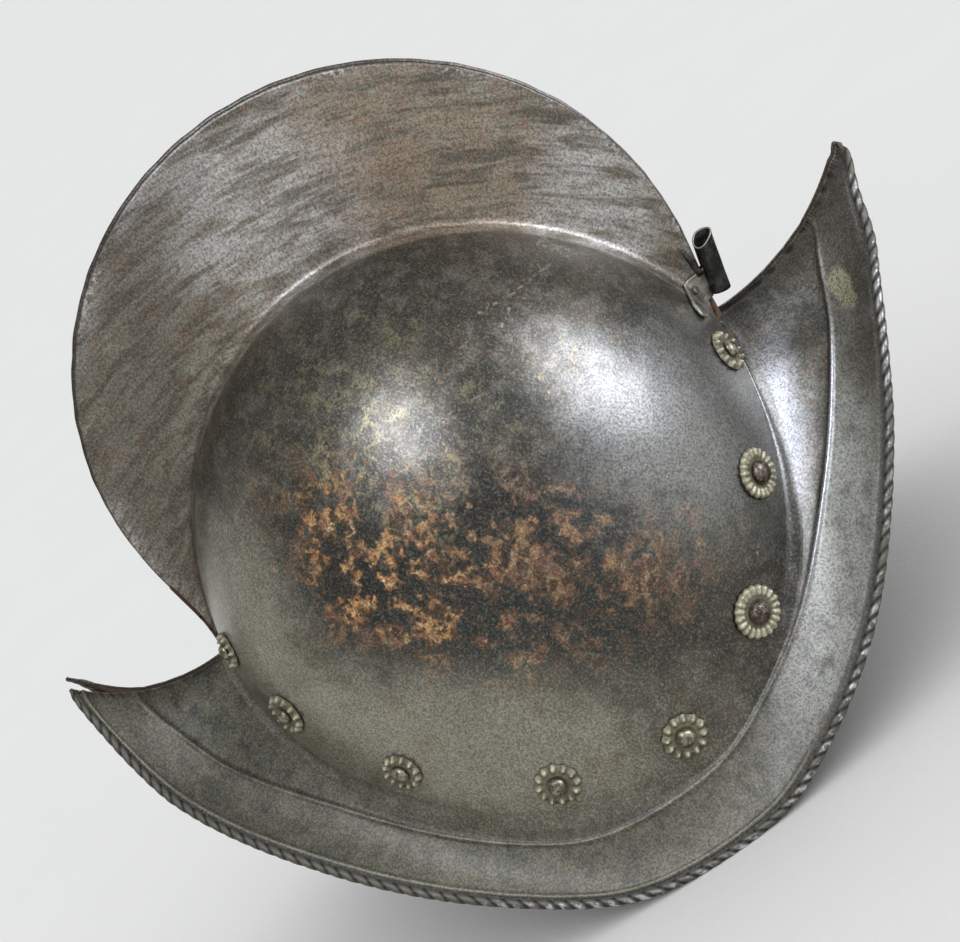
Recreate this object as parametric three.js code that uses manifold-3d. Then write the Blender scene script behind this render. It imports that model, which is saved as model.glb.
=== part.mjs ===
// Comb morion helmet, forged in two halves. Millimetres, +Z up.
// The front faces -Y, the wearer's left is +X, and the helmet stands on the floor at z = 0.
import * as THREE from 'three';
import Module from 'manifold-3d';
import { mergeVertices } from 'three/addons/utils/BufferGeometryUtils.js';

const wasm = await Module();
wasm.setup();

// Sheet
const WALL = 1.1;
const SEAM_X = 0.15;
const PIECE_GAP = 0.3;

// Skull: an egg with upright walls below the spring height
const SKULL_HALF_WIDTH = 97;
const SKULL_HALF_LENGTH = 116.3;
const SKULL_CENTRE_Y = -6;
const SKULL_SPRING_Z = 100;
const SKULL_DOME_HEIGHT = 134;

// Foot of the skull, the crease where the brim starts
const FOOT_HALF_LENGTH = 113;
const FOOT_END_Z = 131.5;
const FOOT_FILLET = 5.5;

// Comb: two flanks that open from the crest to the skull
const COMB_RADIUS = 119.5;
const COMB_CENTRE_Y = -3;
const COMB_CENTRE_Z = 182.4;
const COMB_TAPER = 0.095;
const COMB_FILLET = 26;
const COMB_FRONT = { angle: 113.94, flare: 7.42 };
const COMB_BACK = { angle: 115.09, flare: 1.96 };
const COMB_FLARE_FROM = 98;
const RIGHT_CREST_PROUD = 1.5;
const CREST_LAP = 3;

// Brim
const TIP_Y = 178.2;
const RIM_HALF_WIDTH = 114;
const RIM_FULLNESS = 0.57;
const RIB_HALF_WIDTH = 2.2;
const RIB_HEIGHT = 1.1;

// Turned edge of the brim
const BEAD_RADIUS = 3.2;
const BEAD_SINK = 1;
const BEAD_SEAT = 6.3;

// Sections from front to back, one row each.
// angle: direction round the skull in degrees, footZ: height of the skull foot,
// rimY, rimZ: where the rim lies, rib: how far in from the rim the raised line runs,
// sag: hollow of the brim between foot and rim
const SECTIONS = [
  { angle: -90, footZ: FOOT_END_Z, rimY: -TIP_Y, rimZ: 156, rib: 25, sag: 17 },
  { angle: -86, footZ: 125, rimY: -173, rimZ: 127.5, rib: 25, sag: 16 },
  { angle: -80, footZ: 116, rimY: -165, rimZ: 108.5, rib: 25, sag: 15 },
  { angle: -65, footZ: 94, rimY: -136, rimZ: 78, rib: 25.5, sag: 12 },
  { angle: -45, footZ: 69, rimY: -95, rimZ: 42, rib: 26.5, sag: 9 },
  { angle: -22, footZ: 43, rimY: -46, rimZ: 10, rib: 28, sag: 6 },
  { angle: -10, footZ: 35, rimY: -20, rimZ: 1.6, rib: 28.5, sag: 4.5 },
  { angle: 10, footZ: 30.5, rimY: 22, rimZ: 0.9, rib: 29, sag: 4.5 },
  { angle: 22, footZ: 34.5, rimY: 46, rimZ: 8, rib: 29.5, sag: 6 },
  { angle: 45, footZ: 55.5, rimY: 92, rimZ: 36, rib: 30, sag: 9 },
  { angle: 65, footZ: 85, rimY: 134, rimZ: 80, rib: 30, sag: 12 },
  { angle: 80, footZ: 112, rimY: 165, rimZ: 125, rib: 30, sag: 15 },
  { angle: 86, footZ: 123, rimY: 173, rimZ: 137, rib: 30, sag: 16 },
  { angle: 90, footZ: FOOT_END_Z, rimY: TIP_Y, rimZ: 156, rib: 30, sag: 17 },
];

// Where the rows of the skin lie
const SECTION_COUNT = 28;
const END_SECTION = 88.7;
const RIB_ROW = 2;
const BRIM_BACK_ROWS = [0.5, 1];
const FILLET_ROWS = [1 / 3, 2 / 3];
const SKULL_ROWS = [0.28, 0.54, 0.76, 0.9, 0.97, 1.01];
const COMB_ROWS = [0.15, 0.55, 1];
const BEAD_ANGLES = [125, 75, 25, -25, -75, -120];

// Rosettes from front to back: where each sits on the left side
const ROSETTES = [
  { y: -112, z: 141.3, radius: 7.6, rivet: 3.2 },
  { y: -104, z: 116.8, radius: 8.8, rivet: 3.4 },
  { y: -78.3, z: 82.7, radius: 8.2, rivet: 3.4 },
  { y: -32.8, z: 52.7, radius: 9, rivet: 3.6 },
  { y: 14.3, z: 41, radius: 9, rivet: 3.6 },
  { y: 60.1, z: 58.1, radius: 10.3, rivet: 4.4 },
  { y: 87.8, z: 93, radius: 9.8, rivet: 4.4 },
  { y: 103.5, z: 126.4, radius: 8.6, rivet: 3.4 },
];
const ROSETTE_LOBES = 12;
const ROSETTE_LOBE_DEPTH = 0.1;
const ROSETTE_HEIGHT = 2;
const ROSETTE_CROWN = 0.74;
const ROSETTE_SEAT = 1.1;
const SHANK_RADIUS = 1.25;
const HOLE_RADIUS = 1.6;
const TAIL_RADIUS = 2.3;
const TAIL_GAP = 0.6;

// Plume holder behind the foot of the comb
const TUBE_RADIUS = 4.05;
const TUBE_BORE = 3.5;
const TUBE_LOW = { y: 114.4, z: 138 };
const TUBE_TOP = { y: 120.2, z: 161.2 };
const PLATE_THICKNESS = 0.8;
const PLATE_STAND = 1;
const PLATE_BACK_ROOM = 0.2;
const PLATE_EDGE = 0.4;
const PLATE_SMOOTHING = 0.02;
const PLATE_LEVELS = [
  { z: 138.2, front: 103.8 },
  { z: 141, front: 102.8 },
  { z: 145, front: 102.3 },
  { z: 149.5, front: 102.6 },
];
const PLATE_RIVET = { y: 104.5, z: 144.5, head: 1.8, clear: 1.2 };

const radians = THREE.MathUtils.degToRad;
const degrees = THREE.MathUtils.radToDeg;

// A column of a table read at any angle, as a smooth curve through its rows
function readColumn(rows, key, angle) {
  let i = 0;
  while (i < rows.length - 2 && angle > rows[i + 1].angle) i += 1;
  const slope = (k) => {
    const a = Math.max(0, k - 1);
    const b = Math.min(rows.length - 1, k + 1);
    return (rows[b][key] - rows[a][key]) / (rows[b].angle - rows[a].angle);
  };
  const span = rows[i + 1].angle - rows[i].angle;
  const t = (angle - rows[i].angle) / span;
  const low = rows[i][key] * (1 + 2 * t) * (1 - t) ** 2 + slope(i) * span * t * (1 - t) ** 2;
  const high = rows[i + 1][key] * t * t * (3 - 2 * t) - slope(i + 1) * span * t * t * (1 - t);
  return low + high;
}

// Half width of the bare skull in the side view
function skullHalfWidth(y, z) {
  const along = (y - SKULL_CENTRE_Y) / SKULL_HALF_LENGTH;
  const above = Math.max(0, z - SKULL_SPRING_Z) / SKULL_DOME_HEIGHT;
  const left = 1 - along ** 2 - above ** 2;
  return SKULL_HALF_WIDTH * Math.sign(left) * Math.sqrt(Math.abs(left));
}

// Radius of the comb outline; angle 0 is the top, -90 the front, 90 the back
function combRadius(angle) {
  const end = angle < 0 ? COMB_FRONT : COMB_BACK;
  const past = Math.max(0, Math.abs(angle) - COMB_FLARE_FROM) / (end.angle - COMB_FLARE_FROM);
  return COMB_RADIUS + end.flare * past ** 2;
}

function combDepth(y, z) {
  const angle = degrees(Math.atan2(y - COMB_CENTRE_Y, z - COMB_CENTRE_Z));
  return combRadius(angle) - Math.hypot(y - COMB_CENTRE_Y, z - COMB_CENTRE_Z);
}

function combHalfWidth(y, z) {
  return SEAM_X + WALL + COMB_TAPER * Math.max(0, combDepth(y, z));
}

// Half width of skull and comb together, with the hollow fillet between them
function halfWidth(y, z) {
  const skull = skullHalfWidth(y, z);
  const comb = combHalfWidth(y, z);
  const near = Math.max(0, COMB_FILLET - Math.abs(skull - comb)) / COMB_FILLET;
  return Math.max(skull, comb) + (near ** 2 * COMB_FILLET) / 4;
}

function skinPoint(y, z) {
  return new THREE.Vector3(halfWidth(y, z), y, z);
}

// Outward direction of the skin of skull and comb
function skinNormal(y, z) {
  const step = 0.5;
  const alongY = (halfWidth(y + step, z) - halfWidth(y - step, z)) / (2 * step);
  const alongZ = (halfWidth(y, z + step) - halfWidth(y, z - step)) / (2 * step);
  return new THREE.Vector3(1, -alongY, -alongZ).normalize();
}

function isTip(angle) {
  return Math.abs(angle) > 89.99;
}

function footPoint(angle) {
  const y = SKULL_CENTRE_Y + FOOT_HALF_LENGTH * Math.sin(radians(angle));
  const z = readColumn(SECTIONS, 'footZ', angle);
  const x = isTip(angle) ? SEAM_X : Math.max(SEAM_X, skullHalfWidth(y, z));
  return new THREE.Vector3(x, y, z);
}

function rimPoint(angle) {
  const y = readColumn(SECTIONS, 'rimY', angle);
  const z = readColumn(SECTIONS, 'rimZ', angle);
  const end = Math.max(0, 1 - (y / TIP_Y) ** 2);
  return new THREE.Vector3(Math.max(SEAM_X, RIM_HALF_WIDTH * end ** RIM_FULLNESS), y, z);
}

function crestPoint(angle, proud) {
  const end = angle < 0 ? COMB_FRONT : COMB_BACK;
  const turn = radians((angle / 90) * end.angle);
  const fade = 1 - Math.abs(angle / 90) ** 3;
  const radius = combRadius(degrees(turn)) + proud * fade;
  return {
    y: COMB_CENTRE_Y + radius * Math.sin(turn),
    z: COMB_CENTRE_Z + radius * Math.cos(turn),
  };
}

// The brim line of one section, from the rim up to the foot of the skull
function brimCurve(angle) {
  const foot = footPoint(angle);
  const rim = rimPoint(angle);
  const across = rim.clone().sub(foot);
  const out = new THREE.Vector3(across.x, across.y, 0);
  const reach = out.length();
  out.normalize();
  const droop = new THREE.Vector3().addScaledVector(out, across.z);
  droop.z = -reach;
  droop.setLength(readColumn(SECTIONS, 'sag', angle));
  const middle = foot.clone().add(rim).multiplyScalar(0.5).add(droop);
  return new THREE.QuadraticBezierCurve3(rim, middle, foot);
}

function alongCurve(curve, distance) {
  return curve.getPointAt(Math.min(1, distance / curve.getLength()));
}

// How far up a section the skull gives way to the comb
function junctionAt(low, high) {
  let a = 0;
  let b = 1;
  for (let i = 0; i < 30; i += 1) {
    const m = (a + b) / 2;
    const y = low.y + (high.y - low.y) * m;
    const z = low.z + (high.z - low.z) * m;
    if (skullHalfWidth(y, z) > combHalfWidth(y, z)) a = m;
    else b = m;
  }
  return a;
}

// Rows of the brim as distances from the rim, the raised line among them
function brimRows(angle) {
  const rib = readColumn(SECTIONS, 'rib', angle);
  return [BEAD_SEAT, rib - RIB_HALF_WIDTH, rib, rib + RIB_HALF_WIDTH];
}

// One section of the outer skin, from the bead up to the crest
function sectionRows(angle, proud) {
  const brim = brimCurve(angle);
  const foot = footPoint(angle);
  const crest = crestPoint(angle, proud);
  const atEnd = isTip(angle);
  const rise = Math.hypot(crest.y - foot.y, crest.z - foot.z);
  const brimTop = brim.getLength() - FOOT_FILLET;
  const distances = brimRows(angle);
  const rows = distances.map((distance) => alongCurve(brim, distance));
  const ribTop = distances[distances.length - 1];
  BRIM_BACK_ROWS.forEach((part) => rows.push(alongCurve(brim, ribTop + (brimTop - ribTop) * part)));
  const start = atEnd ? 0 : Math.min(FOOT_FILLET, 0.3 * rise) / rise;
  const at = (t) => {
    const y = foot.y + (crest.y - foot.y) * t;
    const z = foot.z + (crest.z - foot.z) * t;
    return atEnd ? foot.clone() : skinPoint(y, z);
  };
  const skullStart = at(start);
  const fillet = new THREE.QuadraticBezierCurve3(rows[rows.length - 1], foot, skullStart);
  FILLET_ROWS.forEach((t) => rows.push(fillet.getPoint(t)));
  rows.push(skullStart);
  const join = atEnd ? 0 : Math.max(start + 0.02, junctionAt(foot, crest));
  SKULL_ROWS.forEach((t) => rows.push(at(start + (join - start) * t)));
  const above = start + (join - start) * SKULL_ROWS[SKULL_ROWS.length - 1];
  COMB_ROWS.forEach((t) => rows.push(at(above + (1 - above) * t)));
  return rows;
}

function sectionAngles() {
  const angles = [-90, -END_SECTION];
  for (let i = 1; i < SECTION_COUNT; i += 1) {
    const w = (2 * i) / SECTION_COUNT - 1;
    angles.push(90 * (0.6 * w + 0.4 * Math.sin((w * Math.PI) / 2)));
  }
  return [...angles, END_SECTION, 90];
}

// Outward direction at each point of the skin, from its neighbours
function gridNormal(grid, column, row) {
  const left = grid[Math.max(0, column - 1)][row];
  const right = grid[Math.min(grid.length - 1, column + 1)][row];
  const below = grid[column][Math.max(0, row - 1)];
  const above = grid[column][Math.min(grid[0].length - 1, row + 1)];
  const alongBrim = right.clone().sub(left);
  const upward = above.clone().sub(below);
  return alongBrim.cross(upward).normalize();
}

// The inner skin lies one wall thickness inside, and never crosses the seam
function innerPoint(grid, normals, column, row) {
  const point = grid[column][row];
  const normal = normals[column][row];
  if (column === 0 || column === grid.length - 1) {
    const flat = new THREE.Vector3(0, normal.y, normal.z);
    const slant = Math.max(0.5, flat.length());
    return point.clone().addScaledVector(flat.normalize(), -WALL / slant);
  }
  const inside = point.clone().addScaledVector(normal, -WALL);
  inside.x = Math.max(SEAM_X, inside.x);
  return inside;
}

// Collects points and faces; the same place is stored once
class Skin {
  constructor() {
    this.index = new Map();
    this.places = [];
    this.faces = [];
  }

  add(p) {
    const z = Math.max(0, p.z);
    const key = [p.x, p.y, z].map((v) => v.toFixed(4)).join(' ');
    if (!this.index.has(key)) {
      this.index.set(key, this.places.length);
      this.places.push([p.x, p.y, z]);
    }
    return this.index.get(key);
  }

  triangle(a, b, c) {
    const face = [this.add(a), this.add(b), this.add(c)];
    if (new Set(face).size === 3) this.faces.push(face);
  }

  quad(a, b, c, d) {
    this.triangle(a, b, c);
    this.triangle(a, c, d);
  }

  geometry(mirror) {
    const sign = mirror ? -1 : 1;
    const positions = this.places.flatMap(([x, y, z]) => [x * sign, y, z]);
    const order = this.faces.flatMap(([a, b, c]) => (mirror ? [a, c, b] : [a, b, c]));
    const geometry = new THREE.BufferGeometry();
    geometry.setAttribute('position', new THREE.Float32BufferAttribute(positions, 3));
    geometry.setIndex(order);
    return geometry;
  }
}

// The bead round the turned edge at one section
function beadRows(rim, outward, normal) {
  const centre = rim.clone().addScaledVector(outward, -BEAD_RADIUS).addScaledVector(normal, -BEAD_SINK);
  return BEAD_ANGLES.map((angle) => {
    const p = centre.clone();
    p.addScaledVector(outward, BEAD_RADIUS * Math.cos(radians(angle)));
    p.addScaledVector(normal, BEAD_RADIUS * Math.sin(radians(angle)));
    p.x = Math.max(SEAM_X, p.x);
    return p;
  });
}

// One forged half of the helmet, drawn on the left side
function halfSkin(proud) {
  const angles = sectionAngles();
  const last = angles.length - 1;
  const grid = angles.map((angle) => sectionRows(angle, proud));
  const top = grid[0].length - 1;
  const normals = grid.map((rows, c) => rows.map((_, r) => gridNormal(grid, c, r)));
  const inner = grid.map((rows, c) => rows.map((_, r) => innerPoint(grid, normals, c, r)));
  const edge = grid.map((rows) => new THREE.Vector3(SEAM_X, rows[top].y, rows[top].z));
  closeCrest(grid, inner, top, proud);
  const bead = angles.map((angle, c) => {
    const curve = brimCurve(angle);
    const outward = curve.getTangentAt(0).negate();
    const atTip = c === 0 || c === last;
    const normal = normals[c][0].clone();
    if (atTip) {
      outward.x = 0;
      normal.x = 0;
    }
    outward.normalize();
    normal.addScaledVector(outward, -normal.dot(outward)).normalize();
    return beadRows(rimPoint(angle), outward, normal);
  });
  grid.forEach((rows, c) => rows[RIB_ROW].addScaledVector(normals[c][RIB_ROW], ribHeight(c, last)));
  const skin = new Skin();
  for (let c = 0; c < last; c += 1) {
    const outer = [grid[c], grid[c + 1]];
    const inside = [inner[c], inner[c + 1]];
    stitch(skin, outer[0], outer[1], false);
    stitch(skin, inside[0], inside[1], true);
    const rimLeft = [grid[c][0], ...bead[c], inner[c][0]];
    const rimRight = [grid[c + 1][0], ...bead[c + 1], inner[c + 1][0]];
    stitch(skin, rimLeft, rimRight, true);
    const crestLeft = [grid[c][top], edge[c], inner[c][top]];
    const crestRight = [grid[c + 1][top], edge[c + 1], inner[c + 1][top]];
    stitch(skin, crestLeft, crestRight, false);
  }
  [0, last].forEach((c) => closeTip(skin, grid[c], inner[c], bead[c], c === 0));
  return skin;
}

// The raised line dies out at the tips
function ribHeight(column, last) {
  return column === 0 || column === last ? 0 : RIB_HEIGHT;
}

// The inner skin leaves the seam a little below the crest
function closeCrest(grid, inner, top, proud) {
  const last = grid.length - 1;
  grid.forEach((rows, c) => {
    const atEnd = c === 0 || c === last;
    const crest = rows[top];
    const below = rows[top - 1];
    const depth = crest.distanceTo(below);
    const lap = Math.min(CREST_LAP + proud, 0.5 * depth);
    const toCentre = new THREE.Vector3(0, COMB_CENTRE_Y - crest.y, COMB_CENTRE_Z - crest.z).normalize();
    if (!atEnd) {
      inner[c][top].copy(crest).addScaledVector(toCentre, lap);
      inner[c][top].x = SEAM_X;
      return;
    }
    const corner = rows[top].clone();
    corner.y += c === 0 ? 2 : -2;
    corner.z -= 1.8;
    corner.x = SEAM_X;
    const first = rows.findIndex((p) => p.distanceTo(crest) < 1e-6);
    for (let r = first; r <= top; r += 1) inner[c][r].copy(corner);
  });
}

function stitch(skin, left, right, flip) {
  for (let r = 0; r < left.length - 1; r += 1) {
    if (flip) skin.quad(left[r], left[r + 1], right[r + 1], right[r]);
    else skin.quad(left[r], right[r], right[r + 1], left[r + 1]);
  }
}

// The flat end of the sheet on the seam plane, from the tip of the brim to the comb
function closeTip(skin, outer, inside, bead, front) {
  const flip = front;
  const middle = outer[0].clone().add(inside[0]).multiplyScalar(0.5);
  const loop = [outer[0], ...bead, inside[0]];
  for (let i = 0; i < loop.length - 1; i += 1) {
    if (flip) skin.triangle(middle, loop[i + 1], loop[i]);
    else skin.triangle(middle, loop[i], loop[i + 1]);
  }
  if (flip) skin.triangle(middle, outer[0], outer[1]);
  else skin.triangle(middle, outer[1], outer[0]);
  if (flip) skin.triangle(middle, outer[1], inside[1]);
  else skin.triangle(middle, inside[1], outer[1]);
  if (flip) skin.triangle(middle, inside[1], inside[0]);
  else skin.triangle(middle, inside[0], inside[1]);
  for (let r = 1; r < outer.length - 1; r += 1) {
    if (flip) skin.quad(outer[r], outer[r + 1], inside[r + 1], inside[r]);
    else skin.quad(outer[r], inside[r], inside[r + 1], outer[r + 1]);
  }
}

function toSolid(geometry) {
  const plain = geometry.clone();
  plain.deleteAttribute('normal');
  plain.deleteAttribute('uv');
  const merged = mergeVertices(plain, 1e-4);
  const mesh = new wasm.Mesh({
    numProp: 3,
    vertProperties: new Float32Array(merged.attributes.position.array),
    triVerts: new Uint32Array(merged.index.array),
  });
  return new wasm.Manifold(mesh);
}

function fromSolid(solid) {
  const mesh = solid.getMesh();
  const geometry = new THREE.BufferGeometry();
  geometry.setAttribute('position', new THREE.BufferAttribute(new Float32Array(mesh.vertProperties), 3));
  geometry.setIndex(new THREE.BufferAttribute(new Uint32Array(mesh.triVerts), 1));
  return geometry;
}

function steel(color) {
  return new THREE.MeshStandardMaterial({ color, metalness: 0.9, roughness: 0.45 });
}

function brass(color) {
  return new THREE.MeshStandardMaterial({ color, metalness: 0.8, roughness: 0.5 });
}

function named(name, geometry, material) {
  geometry.computeVertexNormals();
  const mesh = new THREE.Mesh(geometry, material);
  mesh.name = name;
  return mesh;
}

// A place on the skin with its outward direction; side is 1 for left, -1 for right
function seatOn(spot, side) {
  const point = skinPoint(spot.y, spot.z);
  const normal = skinNormal(spot.y, spot.z);
  return {
    point: new THREE.Vector3(point.x * side, point.y, point.z),
    normal: new THREE.Vector3(normal.x * side, normal.y, normal.z),
  };
}

// How far a flat disc has to stand off so that it clears the curved skin
function standOff(spot, radius) {
  const { point, normal } = seatOn(spot, 1);
  let most = 0;
  for (let i = 0; i < 16; i += 1) {
    const turn = (i * Math.PI) / 8;
    const y = spot.y + radius * Math.cos(turn);
    const z = spot.z + radius * Math.sin(turn);
    most = Math.max(most, skinPoint(y, z).sub(point).dot(normal));
  }
  return most + PIECE_GAP;
}

function placeOn(mesh, seat, lift) {
  const up = new THREE.Vector3(0, 0, 1);
  mesh.quaternion.setFromUnitVectors(up, seat.normal);
  mesh.position.copy(seat.point).addScaledVector(seat.normal, lift);
  return mesh;
}

// Height of the hollow face of a rosette at a distance from its middle
function rosetteTop(radius, distance) {
  const part = (distance - HOLE_RADIUS) / (radius * ROSETTE_CROWN - HOLE_RADIUS);
  return ROSETTE_SEAT + (ROSETTE_HEIGHT - ROSETTE_SEAT) * part;
}

function rosetteGeometry(radius) {
  const profile = [
    new THREE.Vector2(HOLE_RADIUS, 0),
    new THREE.Vector2(radius, 0.2),
    new THREE.Vector2(radius * ROSETTE_CROWN, ROSETTE_HEIGHT),
    new THREE.Vector2(HOLE_RADIUS, ROSETTE_SEAT),
    new THREE.Vector2(HOLE_RADIUS, 0),
  ];
  const turned = new THREE.LatheGeometry(profile, ROSETTE_LOBES * 2);
  turned.rotateX(Math.PI / 2);
  const place = turned.attributes.position;
  for (let i = 0; i < place.count; i += 1) {
    const x = place.getX(i);
    const y = place.getY(i);
    const r = Math.hypot(x, y);
    if (r < radius * 0.9) continue;
    const wave = 1 - ROSETTE_LOBE_DEPTH * (0.5 - 0.5 * Math.cos(Math.atan2(y, x) * ROSETTE_LOBES));
    place.setXY(i, x * wave, y * wave);
  }
  return turned;
}

// A rivet: domed head above its seat, shank down to the tail inside the helmet
function rivetGeometry(head, height, length) {
  const profile = [
    new THREE.Vector2(0, -length - 1),
    new THREE.Vector2(TAIL_RADIUS, -length),
    new THREE.Vector2(SHANK_RADIUS, -length),
    new THREE.Vector2(SHANK_RADIUS, 0),
    new THREE.Vector2(head, 0),
    new THREE.Vector2(head * 0.7, height * 0.8),
    new THREE.Vector2(0, height),
  ];
  const turned = new THREE.LatheGeometry(profile, 8);
  turned.rotateX(Math.PI / 2);
  return turned;
}

// A plain pin used to cut a round hole through the sheet
function holeCutter(seat) {
  const pin = new THREE.CylinderGeometry(HOLE_RADIUS, HOLE_RADIUS, 16, 8);
  pin.rotateX(Math.PI / 2);
  const turn = new THREE.Quaternion().setFromUnitVectors(new THREE.Vector3(0, 0, 1), seat.normal);
  pin.applyQuaternion(turn);
  pin.translate(seat.point.x, seat.point.y, seat.point.z);
  return toSolid(pin);
}

function halfSolid(side) {
  const mirror = side < 0;
  return toSolid(halfSkin(mirror ? RIGHT_CREST_PROUD : 0).geometry(mirror));
}

function buildHalf(side) {
  const mirror = side < 0;
  let solid = halfSolid(side);
  [...ROSETTES, PLATE_RIVET].forEach((spot) => {
    solid = solid.subtract(holeCutter(seatOn(spot, side)));
  });
  const name = mirror ? 'right_half' : 'left_half';
  return named(name, fromSolid(solid), steel(mirror ? 0x4a4641 : 0x4d4943));
}

function buildRosettes(side) {
  const word = side > 0 ? 'left' : 'right';
  return ROSETTES.flatMap((spot, i) => {
    const seat = seatOn(spot, side);
    const lift = standOff(spot, spot.radius);
    const rosette = named(`rosette_${word}_${i + 1}`, rosetteGeometry(spot.radius), brass(0x7d7356));
    const seatHeight = lift + rosetteTop(spot.radius, spot.rivet) + PIECE_GAP;
    const length = seatHeight + WALL + TAIL_GAP;
    const shape = rivetGeometry(spot.rivet, spot.rivet * 0.7, length);
    const rivet = named(`rivet_${word}_${i + 1}`, shape, steel(0x57524a));
    return [placeOn(rosette, seat, lift), placeOn(rivet, seat, seatHeight)];
  });
}

// The outline of the helmet at one level behind the comb, as far round as the plate reaches
function plateLine(level, stand) {
  const line = [];
  const back = crestBack(level.z);
  const steps = 6;
  for (let i = 0; i <= steps; i += 1) {
    const t = i / steps;
    const at = level.front + (back - PLATE_EDGE - level.front) * t ** 0.8;
    const normal = skinNormal(at, level.z);
    normal.z = 0;
    normal.normalize();
    line.push(skinPoint(at, level.z).addScaledVector(normal, stand));
  }
  const corner = line[line.length - 1];
  const behind = back + PLATE_BACK_ROOM + stand;
  line.push(new THREE.Vector3(corner.x * 0.6, behind, level.z));
  line.push(new THREE.Vector3(0, behind, level.z));
  return line;
}

function crestBack(z) {
  let y = 60;
  while (combDepth(y, z) > 0) y += 0.05;
  return y;
}

function platePoints(stand) {
  return PLATE_LEVELS.map((level) => {
    const line = plateLine(level, stand);
    const far = line.slice(0, -1).reverse().map((p) => new THREE.Vector3(-p.x, p.y, p.z));
    return [...line, ...far];
  });
}

function plateSolid() {
  const near = platePoints(PLATE_STAND);
  const far = platePoints(PLATE_STAND + PLATE_THICKNESS);
  const skin = new Skin();
  const levels = near.length - 1;
  const steps = near[0].length - 1;
  for (let l = 0; l < levels; l += 1) {
    stitch(skin, far[l], far[l + 1], true);
    stitch(skin, near[l], near[l + 1], false);
    skin.quad(near[l][0], far[l][0], far[l + 1][0], near[l + 1][0]);
    skin.quad(far[l][steps], near[l][steps], near[l + 1][steps], far[l + 1][steps]);
  }
  stitch(skin, near[0], far[0], true);
  stitch(skin, far[levels], near[levels], true);
  return toSolid(skin.geometry(false));
}

function tubeSolid() {
  const axis = new THREE.Vector3(0, TUBE_TOP.y - TUBE_LOW.y, TUBE_TOP.z - TUBE_LOW.z);
  const length = axis.length();
  const profile = [
    new THREE.Vector2(0, 0),
    new THREE.Vector2(TUBE_RADIUS, 0),
    new THREE.Vector2(TUBE_RADIUS, length),
    new THREE.Vector2(TUBE_BORE, length),
    new THREE.Vector2(TUBE_BORE, 1),
    new THREE.Vector2(0, 1),
  ];
  const tube = new THREE.LatheGeometry(profile, 16);
  const turn = new THREE.Quaternion().setFromUnitVectors(new THREE.Vector3(0, 1, 0), axis.normalize());
  tube.applyQuaternion(turn);
  tube.translate(0, TUBE_LOW.y, TUBE_LOW.z);
  return toSolid(tube);
}

// The plate is fitted to the comb with a small gap
function buildPlumeHolder() {
  let solid = plateSolid().add(tubeSolid());
  [1, -1].forEach((side) => {
    const half = halfSolid(side);
    const across = PIECE_GAP * side;
    [[0, 0], [0, PIECE_GAP], [across, 0], [across, PIECE_GAP]].forEach(([x, y]) => {
      solid = solid.subtract(half.translate([x, y, 0]));
    });
    solid = solid.subtract(holeCutter(seatOn(PLATE_RIVET, side)));
  });
  const [body] = solid.decompose().sort((a, b) => b.volume() - a.volume());
  return named('plume_holder', fromSolid(body.simplify(PLATE_SMOOTHING)), steel(0x3a3733));
}

function buildPlateRivet(side, index) {
  const seat = seatOn(PLATE_RIVET, side);
  const lift = PLATE_STAND + PLATE_THICKNESS + PLATE_RIVET.clear;
  const shape = rivetGeometry(PLATE_RIVET.head, 0.8, lift + WALL + TAIL_GAP);
  return placeOn(named(`plume_rivet_${index}`, shape, steel(0x8a857c)), seat, lift);
}

const helmet = new THREE.Group();
helmet.name = 'morion_helmet';
[1, -1].forEach((side) => helmet.add(buildHalf(side)));
[1, -1].forEach((side) => buildRosettes(side).forEach((mesh) => helmet.add(mesh)));
helmet.add(buildPlumeHolder());
helmet.add(buildPlateRivet(1, 1));
helmet.add(buildPlateRivet(-1, 2));

export default helmet;
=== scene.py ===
# Comb morion helmet: detailed surfaces, materials, camera and light.
# Sizes are in millimetres and meshes are turned to metres when they are made.
# The front faces -Y, the wearer's left is +X.
import math
import random
import bpy
import numpy as np
from mathutils import Matrix, Vector, noise


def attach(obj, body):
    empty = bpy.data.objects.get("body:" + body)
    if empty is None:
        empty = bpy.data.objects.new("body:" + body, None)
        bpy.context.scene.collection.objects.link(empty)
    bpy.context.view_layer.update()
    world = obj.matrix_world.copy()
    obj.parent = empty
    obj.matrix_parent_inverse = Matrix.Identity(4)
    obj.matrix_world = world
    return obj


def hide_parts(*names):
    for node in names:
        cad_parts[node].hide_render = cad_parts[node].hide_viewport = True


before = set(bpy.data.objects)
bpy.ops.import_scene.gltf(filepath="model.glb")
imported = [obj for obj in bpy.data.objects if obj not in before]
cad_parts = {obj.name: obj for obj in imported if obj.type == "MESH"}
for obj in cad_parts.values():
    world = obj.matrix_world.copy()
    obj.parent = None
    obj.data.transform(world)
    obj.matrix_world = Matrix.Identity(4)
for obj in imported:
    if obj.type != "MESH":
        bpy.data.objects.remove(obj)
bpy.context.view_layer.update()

MM = 0.001

# Sheet
WALL = 1.1
SEAM_X = 0.15

# Skull
SKULL_HALF_WIDTH = 97
SKULL_HALF_LENGTH = 116.3
SKULL_CENTRE_Y = -6
SKULL_SPRING_Z = 100
SKULL_DOME_HEIGHT = 134
FOOT_HALF_LENGTH = 113
FOOT_END_Z = 131.5
FOOT_FILLET = 5.5

# Comb
COMB_RADIUS = 119.5
COMB_CENTRE_Y = -3
COMB_CENTRE_Z = 182.4
COMB_TAPER = 0.095
COMB_FILLET = 31
COMB_FRONT = {"angle": 113.94, "flare": 7.42}
COMB_BACK = {"angle": 115.09, "flare": 1.96}
COMB_FLARE_FROM = 98
RIGHT_CREST_PROUD = 1.0

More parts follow.
